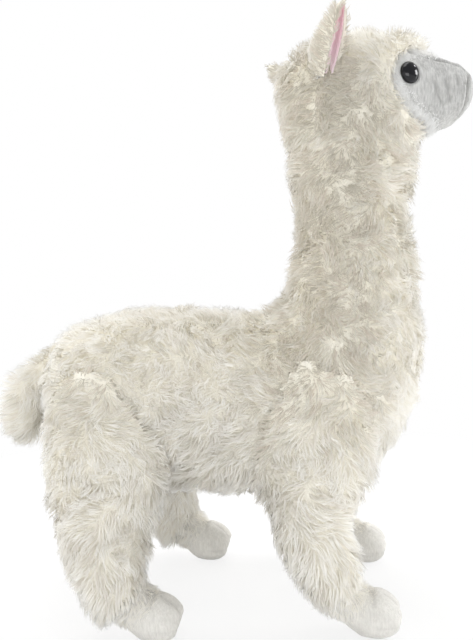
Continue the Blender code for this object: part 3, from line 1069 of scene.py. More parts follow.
    def grow(
        self, roots: np.ndarray, normals: np.ndarray, lean: np.ndarray, scale: np.ndarray
    ) -> tuple[np.ndarray, np.ndarray, np.ndarray]:
        """Lays out every fibre: tufts share a heading and locks draw their tips together.

        Args:
            roots: Where each fibre starts.
            normals: Outward direction there.
            lean: Towards the seam that a fibre covers.
            scale: 1 for full length, less near a rim.

        Returns:
            The lines, each fibre's tone and the direction across it.
        """
        rng = np.random.default_rng(self.seed)
        count = len(roots)
        tufts = roots[rng.choice(count, max(4, int(count / (self.density * self.tuft**2))))]
        locks = rng.choice(count, max(6, int(count / (self.density * self.lock**2))))
        jitter = rng.normal(0, self.blur * self.tuft, roots.shape)
        tuft_of = nearest_of(roots + jitter, tufts)
        lock_of = nearest_of(roots, roots[locks])
        heading = rng.normal(0, self.swirl, len(tufts)).clip(-self.farthest, self.farthest)
        tuft_curl = rng.normal(0, self.curl, len(tufts))
        lock_curl = rng.normal(0, self.by_lock * self.curl, len(locks))
        tuft_lift = rng.normal(0, self.tuft_lift, len(tufts))
        tuft_size = rng.uniform(*self.tuft_lengths, len(tufts))
        waves = soft_noise(roots, self.wave_size, self.seed + 40)
        turn = self.by_tuft * heading[tuft_of] + self.wave * waves
        turn = turn + rng.normal(0, self.stray, count)
        curl = tuft_curl[tuft_of] + lock_curl[lock_of] + rng.normal(0, self.stray, count)
        lift = tuft_lift[tuft_of] + rng.normal(0, self.fibre_lift, count)
        if self.comb is Comb.BODY:
            crown = rise(roots[:, 2], *self.crown)
            lift = lift + crown * rng.uniform(*self.crown_lift, len(tufts))[tuft_of]
        if self.comb is Comb.LEG:
            unruly = self.calm + (1 - self.calm) * rise(roots[:, 2], *self.shin)
            turn, curl = turn * unruly, curl * unruly
        free = 1 - self.held * np.linalg.norm(lean, axis=1)
        turn, curl, lift = turn * free, curl * free, lift - self.laid * (1 - free)
        length = self.length * scale * tuft_size[tuft_of] * rng.uniform(*self.lengths, count)
        lines = self.centre_lines(roots, normals, lean, length, turn, curl, lift)
        lines = self.gathered(lines, lines[locks][lock_of])
        toning = self.toning
        patches = soft_noise(tufts, toning.patch_size, self.seed + 9)[tuft_of]
        tone = toning.middle + toning.patches * patches
        tone = tone + rng.normal(0, toning.locks, len(locks))[lock_of]
        tone = tone + rng.normal(0, toning.fibres, count)
        # the place adds the tan of neck and head, and painted shade and painted light
        tone = tone + toning.by_place(roots, lean, self.comb)
        across = unit(np.cross(normals, lines[:, -1] - lines[:, 0]))
        return lines, tone.clip(*toning.ends), across

    def gathered(self, lines: np.ndarray, middle: np.ndarray) -> np.ndarray:
        """Draws each lock together: a point moves towards its lock's line, most at the tip.

        Args:
            lines: The fibres' lines.
            middle: The line of each fibre's lock.

        Returns:
            The moved lines.
        """
        pull = self.gather * np.linspace(0, 1, self.steps + 1) ** self.gather_late
        spread = lines - middle
        reach = np.linalg.norm(spread[:, :1], axis=2, keepdims=True)
        return lines - spread * pull[None, :, None] * (reach < self.gather_reach * self.lock)

    def fibres(
        self,
        lines: np.ndarray,
        tone: np.ndarray,
        across: np.ndarray,
        scale: np.ndarray,
        normals: np.ndarray,
    ) -> tuple[Surface, np.ndarray, np.ndarray]:
        """Closed three-sided fibres that taper along their lines to a point.

        Ring k has its corners at the line's point k plus the across direction and the outward
        direction times the half width there.

        Args:
            lines: Points by fibre and step.
            tone: Lightness of each fibre, kept as U.
            across: The flat direction of each fibre.
            scale: 1 for full width.
            normals: Outward direction of the cloth under each fibre.

        Returns:
            The mesh, the map's corners, with V from 0 at the root to 1 at the tip, and a
            shading normal at each corner: its own mixed with the cloth's, as pale fibres
            pass light on to each other, and turned back where it leaves its own face.
        """
        count, rings = len(lines), self.steps
        share = np.arange(rings) / rings
        half = 0.5 * self.width * (1 - self.taper * share**1.5)
        half = half[None, :, None] * scale[:, None, None]
        path = lines[:, 1:] - lines[:, :-1]
        flat = across[:, None, :] * half
        raised = unit(np.cross(path, across[:, None, :])) * half
        base = lines[:, :rings]
        corners = np.stack([base - flat, base + flat, base + self.ridge * raised], axis=2)
        points = np.concatenate([corners.reshape(count, -1, 3), lines[:, -1:]], axis=1)
        core = np.repeat(base + self.core * raised, 3, axis=1)
        core = np.concatenate([core, lines[:, -1:] - path[:, -1:]], axis=1)
        pattern, shares = self.one_fibre()
        shade = self.shading(points, core, normals, pattern)
        each = rings * 3 + 1
        faces = (pattern[None] + each * np.arange(count)[:, None, None]).reshape(-1, 3)
        margin, tones, side = 0.02, 0.94, 0.006
        v = margin + (1 - 2 * margin) * np.minimum(np.arange(each) // 3, rings) / rings
        u = margin + tones * tone[:, None, None] + side * shares[None]
        corners_uv = np.stack([u, np.broadcast_to(v[pattern][None], u.shape)], axis=-1)
        return Surface(points.reshape(-1, 3), faces), corners_uv.reshape(-1, 2), shade

    def one_fibre(self) -> tuple[np.ndarray, np.ndarray]:
        """The faces of one fibre: two for each side from ring to ring, a tip and a root.

        Returns:
            Corners by triangle, and how far round the fibre each corner is, from 0 to 3.
        """
        pattern, shares = [], []
        for ring in range(self.steps - 1):
            for side in range(3):
                a, b = ring * 3 + side, ring * 3 + (side + 1) % 3
                pattern += [(a, b, b + 3), (a, b + 3, a + 3)]
                shares += [(side, side + 1, side + 1), (side, side + 1, side)]
        last, tip = (self.steps - 1) * 3, self.steps * 3
        for side in range(3):
            pattern.append((last + side, last + (side + 1) % 3, tip))
            shares.append((side, side + 1, side + 0.5))
        pattern.append((0, 2, 1))
        shares.append((0, 2, 1))
        return np.array(pattern), np.array(shares)

    def shading(
        self, points: np.ndarray, core: np.ndarray, normals: np.ndarray, pattern: np.ndarray
    ) -> np.ndarray:
        """The shading normal at each corner: away from the fibre's core, mixed with the cloth's.

        Where it leaves its own face by too much, it is turned back towards it.

        Args:
            points: The fibres' points.
            core: A place inside the fibre for each of them.
            normals: Outward direction of the cloth under each fibre.
            pattern: Corners by triangle of one fibre.

        Returns:
            A direction for each corner of each triangle.
        """
        shade = unit(points - core) * (1 - self.softness) + normals[:, None] * self.softness
        spots = points[:, pattern]
        facing = np.cross(spots[:, :, 1] - spots[:, :, 0], spots[:, :, 2] - spots[:, :, 0])
        facing = unit(facing)[:, :, None]
        shade = unit(shade)[:, pattern]
        lack = np.maximum(self.upright - (shade * facing).sum(axis=-1, keepdims=True), 0.0)
        return unit(shade + facing * lack).reshape(-1, 3)


def dress_fibres(mesh: bpy.types.Mesh, corners: np.ndarray, shade: np.ndarray) -> None:
    """Gives a mesh its fibre map, once to be read and once to be baked through, and normals.

    Args:
        mesh: The fibres.
        corners: The map at each corner.
        shade: The shading normal at each corner.
    """
    for name in (PILE_MAP, BAKE_MAP):
        layer = mesh.uv_layers.new(name=name)
        layer.uv.foreach_set("vector", corners.astype(np.float32).ravel())
    mesh.normals_split_custom_set(shade)


# Sub-assemblies


@dataclass(frozen=True)
class Trimming:
    """How the body's pile is cut short beside the face, below the fringe, and in the ears.

    Spans of heights are counted down from zero, as -Z.
    """

    fringe: tuple = (-0.452, -0.444)
    chin: tuple = (-0.415, -0.395)
    least: float = 0.46
    least_at_chin: float = 0.76
    reach: tuple = (3 * MM, 18 * MM)
    in_ears: float = 0.75
    reach_in_ears: tuple = (1 * MM, 12 * MM)


@dataclass
class FurBag:
    """A stuffed bag of long-piled cloth in the place of a CAD node.

    Attributes:
        node: The CAD node.
        pile: The pile that it wears.
        grid: Edge of the skin's quads.
        depth: How far the cloth lies below the height of the pile.
        smoothing: Rounds of smoothing.
        neighbours: Nodes that the pile keeps out of.
        parts: Pieces of the pile and the heights between which they lie.
        margin: How far the fibres keep from a neighbour.
        hems: A neighbour's name with the reach of its seam, the share of a fibre's turn
            towards it and the share of the neighbour's normal that the fibre is shaded by.
        trimming: Where the pile is cut short.
        slot: The name of a material slot, passed on with each piece.
        thin: Shortest share of a fibre, and the shares of the depth between which it grows.
        narrow: The least share of a short fibre's width.
        at_seam: The share of the depth that is left beside a seam.
        seam_width: How wide that strip is.
        hem_smoothing: Rounds of smoothing of a neighbour before its normals are read.
    """

    node: str
    pile: Pile
    grid: float = 4.2 * MM
    depth: float = 5 * MM
    smoothing: int = 6
    neighbours: tuple = ()
    parts: dict = field(default_factory=dict)
    margin: float = 0.4 * MM
    hems: dict = field(default_factory=dict)
    trimming: Trimming = Trimming()
    slot: str = "fur"
    thin: tuple = (0.7, 0.15, 0.95)
    narrow: float = 0.55
    at_seam: float = 0.3
    seam_width: float = 2 * MM
    hem_smoothing: int = 3

    def build(self, cloth: bpy.types.Material, fibre: bpy.types.Material) -> None:
        """Makes the skin and the pile that stands on it.

        Args:
            cloth: The skin's finish.
            fibre: The pile's finish.
        """
        outer = Surface.of_node(self.node).remeshed(self.grid).smoothed(self.smoothing)
        skin, sunk = outer.shrunk(self.depth * self.shallow(outer.points))
        piece = skin.to_piece(self.node + "_cloth", cloth, self.slot)
        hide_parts(self.node)
        log.info("%s: %d faces", self.node + "_cloth", len(skin.faces))
        self.cover(outer, skin, sunk, fibre)

    def shallow(self, points: np.ndarray) -> np.ndarray:
        """Share of the full depth at each point: less beside a seam, where the cloths meet.

        Args:
            points: The height of the pile.

        Returns:
            A share for each point.
        """
        share = np.ones(len(points))
        for name, (reach, _, _) in self.hems.items():
            gap = self.room(Surface.of_node(name).bvh(), points)
            least = self.at_seam + (1 - self.at_seam) * rise(gap, self.seam_width, reach)
            share = np.minimum(share, least)
        return share

    def cover(
        self, outer: Surface, skin: Surface, sunk: np.ndarray, fibre: bpy.types.Material
    ) -> None:
        """Grows the pile from the skin and makes its pieces.

        Args:
            outer: The height of the pile.
            skin: The cloth below it.
            sunk: The distance between them at each point.
            fibre: The fibres' finish.
        """
        roots, normals, scale = self.roots(outer, skin, sunk)
        lean, smooth = self.seams(roots, normals)
        lines, tone, across = self.pile.grow(roots, normals, lean, scale)
        narrow = self.narrow + (1 - self.narrow) * scale
        for name, own in self.groups(roots).items():
            mesh, corners, shade = self.pile.fibres(
                lines[own], tone[own], across[own], narrow[own], smooth[own]
            )
            made = mesh.to_piece(name, fibre, self.slot)
            dress_fibres(made.data, corners, shade)
            log.info("%s: %d fibres", name, int(own.sum()))

    def groups(self, roots: np.ndarray) -> dict[str, np.ndarray]:
        """Splits the fibres by height, and a little by X, into pieces of a fair size.

        Args:
            roots: Where each fibre starts.

        Returns:
            Which fibres each named piece has.
        """
        if not self.parts:
            return {self.node + "_pile": np.ones(len(roots), bool)}
        slope = 0.35
        height = roots[:, 2] + slope * roots[:, 0]
        return {
            name: (height >= low) & (height < high) for name, (low, high) in self.parts.items()
        }

    def roots(
        self, outer: Surface, skin: Surface, sunk: np.ndarray
    ) -> tuple[np.ndarray, np.ndarray, np.ndarray]:
        """Chooses where fibres stand: evenly by area, and not where a neighbour lies on.

        Args:
            outer: The height of the pile.
            skin: The cloth below it.
            sunk: The distance between them at each point.

        Returns:
            Root points, normals and the share of the full length.
        """
        rng = np.random.default_rng(self.pile.seed + 100)
        tris = outer.triangles()
        corner = outer.points[tris]
        area = 0.5 * np.linalg.norm(
            np.cross(corner[:, 1] - corner[:, 0], corner[:, 2] - corner[:, 0]), axis=1
        )
        count = int(self.pile.density * area.sum())
        face = rng.choice(len(tris), count, p=area / area.sum())
        a, b = rng.random((2, count))
        a, b = np.where(a + b > 1, 1 - a, a), np.where(a + b > 1, 1 - b, b)
        weights = np.stack([1 - a - b, a, b], axis=1)[:, :, None]
        above = (outer.points[tris[face]] * weights).sum(axis=1)
        below = (skin.points[tris[face]] * weights).sum(axis=1)
        normals = unit((outer.normals()[tris[face]] * weights).sum(axis=1))
        depth = (sunk[tris[face]] * weights[:, :, 0]).sum(axis=1)
        least, start, full = self.thin
        scale = least + (1 - least) * rise(depth / self.depth, start, full)
        kept, scale = self.trimmed(above, scale)
        return below[kept], normals[kept], scale[kept]

    def seams(self, roots: np.ndarray, normals: np.ndarray) -> tuple[np.ndarray, np.ndarray]:
        """Makes the fibres beside a seam lie over it and look like the pile across it.

        A fibre turns by a share of 1 - distance / reach of the seam.

        Args:
            roots: Where each fibre starts.
            normals: Outward direction there.

        Returns:
            Each fibre's lean towards the seam and the direction that it is shaded by.
        """
        lean, smooth = np.zeros_like(roots), normals.copy()
        for name, (reach, turn, blend) in self.hems.items():
            tree = Surface.of_node(name).smoothed(self.hem_smoothing).bvh()
            for i, p in enumerate(roots):
                hit = tree.find_nearest(Vector(p), reach)
                if hit[0] is not None and hit[3] > 0:
                    share = 1 - hit[3] / reach
                    lean[i] = unit(np.array(hit[0]) - p) * share * turn
                    smooth[i] += (np.array(hit[1]) - normals[i]) * share * blend
        return lean, unit(smooth)

    def trimmed(self, above: np.ndarray, scale: np.ndarray) -> tuple[np.ndarray, np.ndarray]:
        """Leaves out fibres under a neighbour and shortens those beside the face and ears.

        Args:
            above: Where each fibre passes the height of the pile.
            scale: Its share of the full length.

        Returns:
            Which fibres stay, and their new share.
        """
        kept, cut = np.ones(len(above), bool), self.trimming
        for name in self.neighbours:
            gap = self.room(Surface.of_node(name).bvh(), above)
            kept &= gap > self.margin
            if name == "muzzle":
                beside = rise(-above[:, 2], *cut.fringe)
                chin = rise(-above[:, 2], *cut.chin)
                least = cut.least + (cut.least_at_chin - cut.least) * chin
                short = least + (1 - least) * rise(gap, *cut.reach)
                scale = scale * (1 - beside * (1 - short))
            elif "lining" in name and self.node == "body":
                short = cut.in_ears + (1 - cut.in_ears) * rise(gap, *cut.reach_in_ears)
                scale = scale * short
        return kept, scale

    @staticmethod
    def room(tree: BVHTree, points: np.ndarray) -> np.ndarray:
        """Distance from each point to a neighbour's surface, as far as it is looked for.

        Args:
            tree: The neighbour.
            points: Where the distance is wanted.

        Returns:
            The distances, negative inside the neighbour.
        """
        gaps = np.full(len(points), SEARCH)
        for i, p in enumerate(points):
            hit = tree.find_nearest(Vector(p), SEARCH)
            if hit[0] is not None:
                outside = (Vector(p) - hit[0]).dot(hit[1]) >= 0 or not holds(tree, Vector(p))
                gaps[i] = hit[3] if outside else -hit[3]
        return gaps


@dataclass
class EarBag(FurBag):
    """An ear's furred back, brushed to its tip and away from its lining.

    Attributes:
        away: How much the brushed direction points away from the lining.
    """

    away: float = 0.75

    def build(self, cloth: bpy.types.Material, fibre: bpy.types.Material) -> None:
        """Finds the ear's own directions and then makes it as any bag.

        Args:
            cloth: The skin's finish.
            fibre: The pile's finish.
        """
        back = Surface.of_node(self.node).points
        lining = Surface.of_node(self.node.replace("back", "lining")).points
        middle = back.mean(axis=0)
        long_way = np.linalg.svd(back - middle, full_matrices=False)[2][0]
        long_way = long_way * (1 if long_way[2] > 0 else -1)
        off = middle - lining.mean(axis=0)
        off = unit(off - off @ long_way * long_way)
        self.pile.axis = tuple(long_way + self.away * off)
        super().build(cloth, fibre)


@dataclass
class EdgePile(FurBag):
    """The fluffed edge of a short pile, where it stands up along a long-piled neighbour.

    Attributes:
        beside: The long-piled neighbour.
        reach: How far from it the edge goes.
        under: How far it goes in under the neighbour.
        clear: Nodes that the fibres keep clear of.
        clearance: How far.
        shortest: Share of the length at the end of the reach.
        full: Share of the reach up to which the length is full.
    """

    beside: str = "body"
    reach: float = 11 * MM
    under: float = 1 * MM
    clear: tuple = ()
    clearance: float = 0.8 * MM
    shortest: float = 0.35
    full: float = 0.25

    def build(self, cloth: bpy.types.Material, fibre: bpy.types.Material) -> None:
        """Grows only the pile, since the piece has its own bag.

        Args:
            cloth: The bag's finish, which isn't needed here.
            fibre: The pile's finish.
        """
        outer = Surface.of_node(self.node).remeshed(self.grid).smoothed(self.smoothing)
        skin, sunk = outer.shrunk(self.depth)
        self.cover(outer, skin, sunk, fibre)

    def trimmed(self, above: np.ndarray, scale: np.ndarray) -> tuple[np.ndarray, np.ndarray]:
        """Keeps fibres within reach of the long pile and clear of the named nodes.

        Args:
            above: Where each fibre passes the height of the pile.
            scale: Its share of the full length.

        Returns:
            Which fibres stay, and their new share.
        """
        gap = self.room(Surface.of_node(self.beside).bvh(), above)
        kept = (gap < self.reach) & (gap > -self.under)
        for name in self.clear:
            kept &= self.room(Surface.of_node(name).bvh(), above) > self.clearance
        far = rise(gap, self.full * self.reach, self.reach)
        return kept, scale * (1 - (1 - self.shortest) * far)


@dataclass
class Face:
    """The short-piled face: a smooth bag with a gusset sewn in over its top and nose.

    A groove is its depth and width, and a shadow how dark and how wide it is. The swell beside
    a seam and the rim round an eye are height, distance and width, and the pucker is depth,
    pitch and width. The hem is the span over which the long pile's nearness fades.
    """

    node: str = "muzzle"
    grid: float = 1.15 * MM
    smoothing: int = 40
    gusset: tuple = (
        (0.146, 0.0225, 0.441),
        (0.158, 0.0205, 0.4385),
        (0.168, 0.018, 0.436),
        (0.179, 0.0152, 0.4332),
        (0.188, 0.0128, 0.430),
        (0.1925, 0.0125, 0.4265),
        (0.1935, 0.0145, 0.422),
        (0.1925, 0.0178, 0.4165),
        (0.192, 0.0188, 0.411),
        (0.191, 0.0175, 0.404),
        (0.188, 0.0140, 0.397),
        (0.180, 0.0080, 0.3905),
    )
    folds: tuple = (
        ((0.1745, 0.0235, 0.4195), (0.1765, 0.0232, 0.412), (0.1775, 0.0222, 0.404)),
        ((0.166, 0.0262, 0.4165), (0.1675, 0.0262, 0.410), (0.171, 0.0245, 0.402)),
        ((0.183, 0.0215, 0.4235), (0.1845, 0.0215, 0.416)),
    )
    nostril: tuple = (0.1897, 0.0193, 0.4164)
    seam_groove: tuple = (1.9 * MM, 1.35 * MM)
    nostril_groove: tuple = (0.8 * MM, 1.3 * MM)
    fold_depths: tuple = (1.2 * MM, 0.95 * MM, 0.7 * MM)
    fold_width: float = 1.7 * MM
    swell: tuple = (0.7 * MM, 3.2 * MM, 2.3 * MM)
    pucker: tuple = (0.2 * MM, 2.6 * MM, 2.4 * MM)
    eye_rim: tuple = (0.7 * MM, 10 * MM, 1.4 * MM)
    waves: tuple = (0.25 * MM, 11 * MM)
    seam_shadow: tuple = (0.85, 1.0 * MM)
    nostril_shadow: tuple = (0.95, 1.25 * MM)
    fold_shadow: tuple = (0.4, 1.3 * MM)
    hem: tuple = (2 * MM, 9 * MM)

    def build(self, finish: bpy.types.Material) -> None:
        """Makes the face in its node's place with its seams sunk in and painted shade along them.

        Args:
            finish: The short pile of the face.
        """
        bag = Surface.of_node(self.node).remeshed(self.grid).smoothed(self.smoothing)
        seam = self.distance(bag, self.gusset)
        folds = [self.distance(bag, fold) for fold in self.folds]
        nostril = self.distance(bag, (self.nostril, self.nostril))
        room = FurBag.room(Surface.of_node("body").bvh(), bag.points)
        depth, width = self.nostril_groove
        out = self.relief(bag, seam, folds) - depth * groove(nostril, width)
        made = Surface(bag.points + bag.normals() * out[:, None], bag.faces)
        piece = made.to_piece("face_bag", finish, "velboa")
        # painted shade along the seam, the nostril and the folds
        mark(piece.data, PAINTED_SEAM_SHADE, self.shadows(seam, nostril, folds))
        mark(piece.data, EDGE, rise(room, *self.hem))
        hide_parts(self.node)
        log.info("face_bag: %d faces", len(bag.faces))

    def relief(self, bag: Surface, seam: np.ndarray, folds: list) -> np.ndarray:
        """How far each point moves out.

        A seam is a groove exp(-(d / width)^2) of the distance d to its line, between two soft
        swells, puckered along its length. A fold is a wider and shallower groove.

        Args:
            bag: The face before its seams are sunk.
            seam: Distance of each point from the gusset's seam.
            folds: Its distances from the folds.

        Returns:
            The distance along the normal.
        """
        depth, pitch, width = self.pucker
        along = bag.points[:, 0] - bag.points[:, 2]
        out = -depth * np.sin(2 * math.pi * along / pitch) * groove(seam, width)
        height, away, width = self.swell
        out = out + height * groove(seam - away, width)
        depth, width = self.seam_groove
        out = out - depth * groove(seam, width)
        for depth, near in zip(self.fold_depths, folds):
            out = out - depth * groove(near, self.fold_width)
        height, away, width = self.eye_rim
        for side in Side:
            eye = Surface.of_node(side.name.lower() + "_eye").points.mean(axis=0)
            out = out + height * groove(np.linalg.norm(bag.points - eye, axis=1) - away, width)
        height, size = self.waves
        return out + height * soft_noise(bag.points, size, seed=5)

    def shadows(self, seam: np.ndarray, nostril: np.ndarray, folds: list) -> np.ndarray:
        """The shadow of each line, where the darkest one counts.

        Args:
            seam: Distance of each point from the gusset's seam.
            nostril: Its distance from the nostril.
            folds: Its distances from the folds.

        Returns:
            A share from 0 to 1.
        """
        dark, width = self.seam_shadow
        found = dark * groove(seam, width)
        dark, width = self.nostril_shadow
        found = np.maximum(found, dark * groove(nostril, width))
        dark, width = self.fold_shadow
        for fold in folds:
            found = np.maximum(found, dark * groove(fold, width))
        return found

    @staticmethod
    def distance(bag: Surface, line: tuple) -> np.ndarray:
        """Distance of each point from a line laid on the skin, the same on both cheeks.

        Args:
            bag: The face.
            line: Corners of the line, with Y counted from the face's middle plane.

        Returns:
            The distances.
        """
        middle = np.array([0.0, (bag.points[:, 1].min() + bag.points[:, 1].max()) / 2, 0.0])
        corners, each = np.array(line) + middle, 24
        share = np.linspace(0, len(corners) - 1, each * len(corners))
        spots = np.stack([np.interp(share, range(len(corners)), c) for c in corners.T], axis=1)
        tree = bag.bvh()
        spots = np.array([tree.find_nearest(Vector(p))[0] for p in spots]) - middle
        own = bag.points - middle
        own[:, 1] = np.abs(own[:, 1])
        return np.linalg.norm(own - spots[nearest_of(own, spots)], axis=1)


@dataclass
class Eye:
    """A polished dome on its shank, turned about the way it looks.

    The arc is the angles of the dome's first and last ring, up from its base. The back is the
    radius and height of each ring from behind the dome to the shank's end.
    """

    side: Side
    turn: float = math.radians(38)
    lift: float = math.radians(8)
    radius: float = 8.5 * MM
    bulge: float = 5.6 * MM
    arc: tuple = (math.pi / 2 - 0.02, -0.25)
    rows: int = 15
    columns: int = 48
    back: tuple = (
        (7.6 * MM, -0.55 * MM),
        (2.4 * MM, -0.6 * MM),
        (2.4 * MM, -12.0 * MM),
        (2.0 * MM, -12.4 * MM),
        (0.4 * MM, -12.5 * MM),
    )

    def build(self, finish: bpy.types.Material) -> None:
        """Makes the dome in its node's place.

        Args:
            finish: The gloss of the eye.
        """
        name = self.side.name.lower() + "_eye"
        node = Surface.of_node(name)
        level = np.array([math.sin(self.turn), self.side.value * math.cos(self.turn), 0.0])
        look = level * math.cos(self.lift) + np.array([0.0, 0.0, math.sin(self.lift)])
        reach, near = node.points @ look, 0.05 * MM
        apex = node.points[reach > reach.max() - near].mean(axis=0)
        piece = self.dome(apex - look * self.bulge, look).to_piece(
            name + "_dome", finish, "eye"
        )
        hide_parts(name)
        log.info("%s: %d faces", name + "_dome", len(piece.data.polygons))

    def dome(self, place: np.ndarray, look: np.ndarray) -> Surface:
        """A turned solid: radius and height by angle over the dome, then the back and shank.

        A point is place + radius (cos t side + sin t up) + height look.

        Args:
            place: The middle of the dome's base.
            look: The way that the eye looks.

        Returns:
            The closed surface.
        """
        tilt = np.linspace(*self.arc, self.rows)
        back = np.array(self.back)
        radius = np.concatenate([self.radius * np.cos(tilt), back[:, 0]])
        height = np.concatenate([self.bulge * np.sin(tilt), back[:, 1]])
        around = np.linspace(0, 2 * math.pi, self.columns, endpoint=False)
        aside = unit(np.cross(np.array([0.0, 0.0, 1.0]), look))
        up = np.cross(look, aside)
        ring = np.cos(around)[:, None] * aside + np.sin(around)[:, None] * up
        points = place + radius[:, None, None] * ring[None] + height[:, None, None] * look
        return closed_tube(points)


def closed_tube(grid: np.ndarray) -> Surface:
    """Quads round a grid of rings, with a fan of triangles as thin quads over each end.

    Args:
        grid: Points by ring and place round it.

    Returns:
        The closed surface, facing away from its middle line.
    """
    rings, sides = grid.shape[:2]
    ends = np.stack([grid[0].mean(axis=0), grid[-1].mean(axis=0)])
    points = np.vstack([grid.reshape(-1, 3), ends])
    ring, side = np.meshgrid(np.arange(rings - 1), np.arange(sides), indexing="ij")
    after = (side + 1) % sides
    low, high = ring * sides, (ring + 1) * sides
    first = np.stack([low + side, low + after, high + after], axis=-1).reshape(-1, 3)
    second = np.stack([low + side, high + after, high + side], axis=-1).reshape(-1, 3)
    turn = np.arange(sides)
    follow = (turn + 1) % sides
    last = (rings - 1) * sides
    start = np.stack([np.full(sides, rings * sides), follow, turn], axis=1)
    finish = np.stack([np.full(sides, rings * sides + 1), last + turn, last + follow], axis=1)
    faces = np.vstack([first, second, start, finish])
    made = Surface(points, faces)
    corner = points[faces]
    volume = (corner[:, 0] * np.cross(corner[:, 1], corner[:, 2])).sum()
    return made if volume > 0 else Surface(points, faces[:, ::-1])


@dataclass
class Foot:
    """A short-piled foot with two toes, a seam between them and one round its middle.

    The cleft and the crease over the instep are depth and width, the seam is depth, height and
    width, and the dimple is depth and its reach along and across. Spans behind are counted back
    from the tips of the toes, and spans above from the floor. The upper side is where normals
    point up by so much. The shadow is its darkest share and the depth that would have it all.
    """

    name: str
    grid: float = 1.7 * MM
    smoothing: int = 20
    cleft: tuple = (2.0 * MM, 1.6 * MM)
    cleft_behind: tuple = (19 * MM, 11 * MM)
    cleft_above: tuple = (3 * MM, 8 * MM)
    seam: tuple = (0.7 * MM, 13 * MM, 0.9 * MM)
    seam_behind: tuple = (24 * MM, 14 * MM)
    instep: float = 22 * MM
    instep_above: tuple = (8 * MM, 16 * MM)
    upper: tuple = (0.3, 0.85)
    crease: tuple = (0.9 * MM, 2.0 * MM)
    dimple: tuple = (1.0 * MM, 5 * MM, 10 * MM)
    shadow: tuple = (0.4, 5 * MM)

    def build(self, finish: bpy.types.Material) -> None:
        """Makes the foot in its node's place.

        Args:
            finish: The short pile of the foot.
        """
        node = self.name + "_foot"
        bag = Surface.of_node(node).remeshed(self.grid).smoothed(self.smoothing)
        relief = self.relief(bag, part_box(node))
        points = bag.points + bag.normals() * relief[:, None]
        points[:, 2] = np.maximum(points[:, 2], 0.0)
        piece = Surface(points, bag.faces).to_piece(node + "_bag", finish, "velboa")
        # painted shade in the cleft, seams, crease and dimple: the deeper, the darker
        darkest, depth = self.shadow
        mark(piece.data, PAINTED_SEAM_SHADE, np.clip(-relief / depth, 0.0, darkest))
        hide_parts(node)
        log.info("%s: %d faces", node + "_bag", len(bag.faces))

    def relief(self, bag: Surface, box: tuple) -> np.ndarray:
        """How far each point moves out: grooves at the cleft, over the toes and on the instep.

        Args:
            bag: The foot before its seams are sunk.
            box: Lowest and highest corner of its node.

        Returns:
            The distance along the normal, which is never above zero.
        """
        low, high = box
        x, y, z = bag.points.T
        aside, back = y - (low[1] + high[1]) / 2, x - high[0]
        front = rise(back, -self.cleft_behind[0], -self.cleft_behind[1])
        sunk = self.cleft[0] * groove(aside, self.cleft[1]) * front * rise(z, *self.cleft_above)
        round_toes = rise(back, -self.seam_behind[0], -self.seam_behind[1])
        sunk = sunk + self.seam[0] * groove(z - self.seam[1], self.seam[2]) * round_toes
        upper = rise(bag.normals()[:, 2], *self.upper) * rise(z, *self.instep_above)
        crease = self.crease[0] * groove(back + self.instep, self.crease[1])
        dimple = self.dimple[0] * groove(back + self.instep, self.dimple[1])
        return -(sunk + (crease + dimple * groove(aside, self.dimple[2])) * upper)


@dataclass
class Lining:
    """The thin brushed lining in the cup of an ear."""

    side: Side
    grid: float = 0.8 * MM
    smoothing: int = 8

    def build(self, finish: bpy.types.Material) -> None:
        """Makes the lining in its node's place.

        Args:
            finish: The brushed cloth of the lining.
        """
        node = self.side.name.lower() + "_ear_lining"
        leaf = Surface.of_node(node).remeshed(self.grid).smoothed(self.smoothing)
        piece = leaf.to_piece(node + "_leaf", finish, "lining")
        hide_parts(node)
        log.info("%s: %d faces", node + "_leaf", len(leaf.faces))


